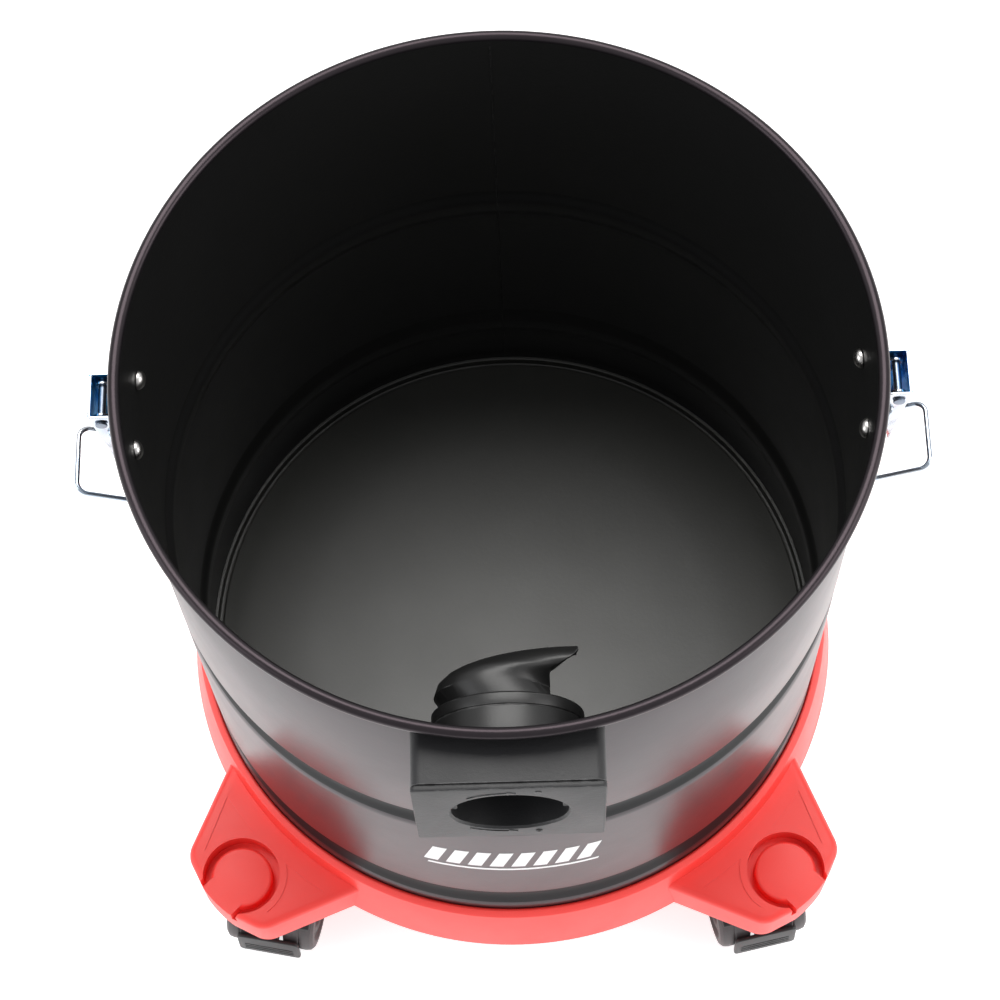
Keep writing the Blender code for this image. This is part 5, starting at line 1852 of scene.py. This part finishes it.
@dataclass
class Studio:
    """The pale floor, the soft light and the camera."""

    anchor: Anchor
    turn: float = 1.75
    rim_radius: float = 0.190
    aim: tuple[float, float] = (-0.014, -0.374)
    distance: float = 6.493
    elevation: float = 67.27
    roll: float = -3.31
    lens: float = 93.5
    world: float = 0.6
    floor_glow: float = 0.65

    def build_floor(self) -> None:
        """A wide pale floor with the faintest unevenness."""
        Bench.clear()
        bpy.ops.mesh.primitive_plane_add(size=14, location=(0, 0, -0.0002))
        floor = Bench.made("studio_floor")
        material = bpy.data.materials.new("pale_floor")
        material.use_nodes = True
        wiring = Wiring(material.node_tree)
        shader = material.node_tree.nodes["Principled BSDF"]
        place = wiring.add("TexCoord").outputs["Object"]
        tone = Mottle().use(wiring, Vector=place, Colour=(0.9, 0.9, 0.9, 1), Scale=3.0, Amount=0.02)
        wiring.feed(shader.inputs["Base Color"], tone.outputs[0])
        shader.inputs["Roughness"].default_value = 0.7
        shader.inputs["Specular IOR Level"].default_value = 0.2
        shader.inputs["Emission Color"].default_value = (1.0, 1.0, 1.0, 1)
        shader.inputs["Emission Strength"].default_value = self.floor_glow
        floor.data.materials.append(material)

    def add_panel(self, name: str, place: Vector, size: Point, power: float, colour: Colour) -> None:
        """Adds one soft rectangular light that looks at the tank.

        Args:
            name: the light's name.
            place: where it hangs.
            size: its two sides.
            power: its power in watts.
            colour: its colour.
        """
        data = bpy.data.lights.new(name, "AREA")
        data.shape = "RECTANGLE"
        data.size, data.size_y = size
        data.energy = power
        data.color = colour
        light = bpy.data.objects.new(name, data)
        light.location = place
        light.rotation_euler = (Vector((0, 0, 0.25)) - place).to_track_quat("-Z", "Y").to_euler()
        bpy.context.scene.collection.objects.link(light)

    def build_lights(self) -> None:
        """An even pale surround and large soft panels."""
        world = bpy.data.worlds.new("surround")
        world.use_nodes = True
        shade = world.node_tree.nodes["Background"]
        shade.inputs["Color"].default_value = (0.97, 0.98, 1.0, 1)
        shade.inputs["Strength"].default_value = self.world
        bpy.context.scene.world = world
        self.add_panel("top_panel", Vector((0.0, 1.1, 2.7)), (2.4, 1.6), 72.0, (1.0, 0.99, 0.97))
        self.add_panel("left_panel", Vector((-2.3, -0.6, 1.6)), (1.6, 1.6), 18.0, (0.97, 0.98, 1.0))
        self.add_panel("right_panel", Vector((2.3, -0.4, 1.6)), (1.6, 1.6), 26.0, (1.0, 0.98, 0.97))
        settings = bpy.context.scene.view_settings
        settings.view_transform = "Standard"
        settings.look = "None"
        settings.exposure = 0.0

    def build_camera(self) -> None:
        """The camera at its fitted place, turned about the drum's axis."""
        e, r = math.radians(self.elevation), math.radians(self.roll)
        ahead = Vector((0, math.cos(e), -math.sin(e)))
        right = Vector((1, 0, 0))
        up = right.cross(ahead)
        right_rolled = right * math.cos(r) + up * math.sin(r)
        up_rolled = up * math.cos(r) - right * math.sin(r)
        target = Vector((*self.aim, 0)) * self.rim_radius
        place = target - ahead * (self.distance * self.rim_radius)
        frame = Matrix((right_rolled, up_rolled, -ahead)).transposed().to_4x4()
        frame.translation = place
        rim = Matrix.Translation((0, self.anchor.axis_y, self.anchor.rim_top - 0.003))
        camera = bpy.data.objects.new("camera", bpy.data.cameras.new("camera"))
        camera.data.lens = self.lens
        camera.data.sensor_width = 36.0
        camera.matrix_world = rim @ Matrix.Rotation(math.radians(self.turn), 4, "Z") @ frame
        bpy.context.scene.collection.objects.link(camera)
        bpy.context.scene.camera = camera

    def build(self) -> None:
        """Builds the studio."""
        self.build_camera()
        self.build_floor()
        self.build_lights()


def main() -> None:
    """Builds every sub-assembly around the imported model."""
    logging.basicConfig(level=logging.INFO, format="%(name)s: %(message)s")
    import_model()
    anchor = Anchor.read()
    tank = Tank(anchor)
    tank.build()
    Inlet(tank).build()
    for side in Side:
        Latch(tank, side).build()
    Trolley(tank).build()
    casters = [
        Caster(tank, "front_right", -46.0, -78.3, True),
        Caster(tank, "front_left", -136.0, -101.7, True),
        Caster(tank, "rear_left", 134.0, -95.0, False),
        Caster(tank, "rear_right", 44.0, -85.0, False),
    ]
    for caster in casters:
        caster.build()
    Studio(anchor).build()


if __name__ == "__main__":
    main()
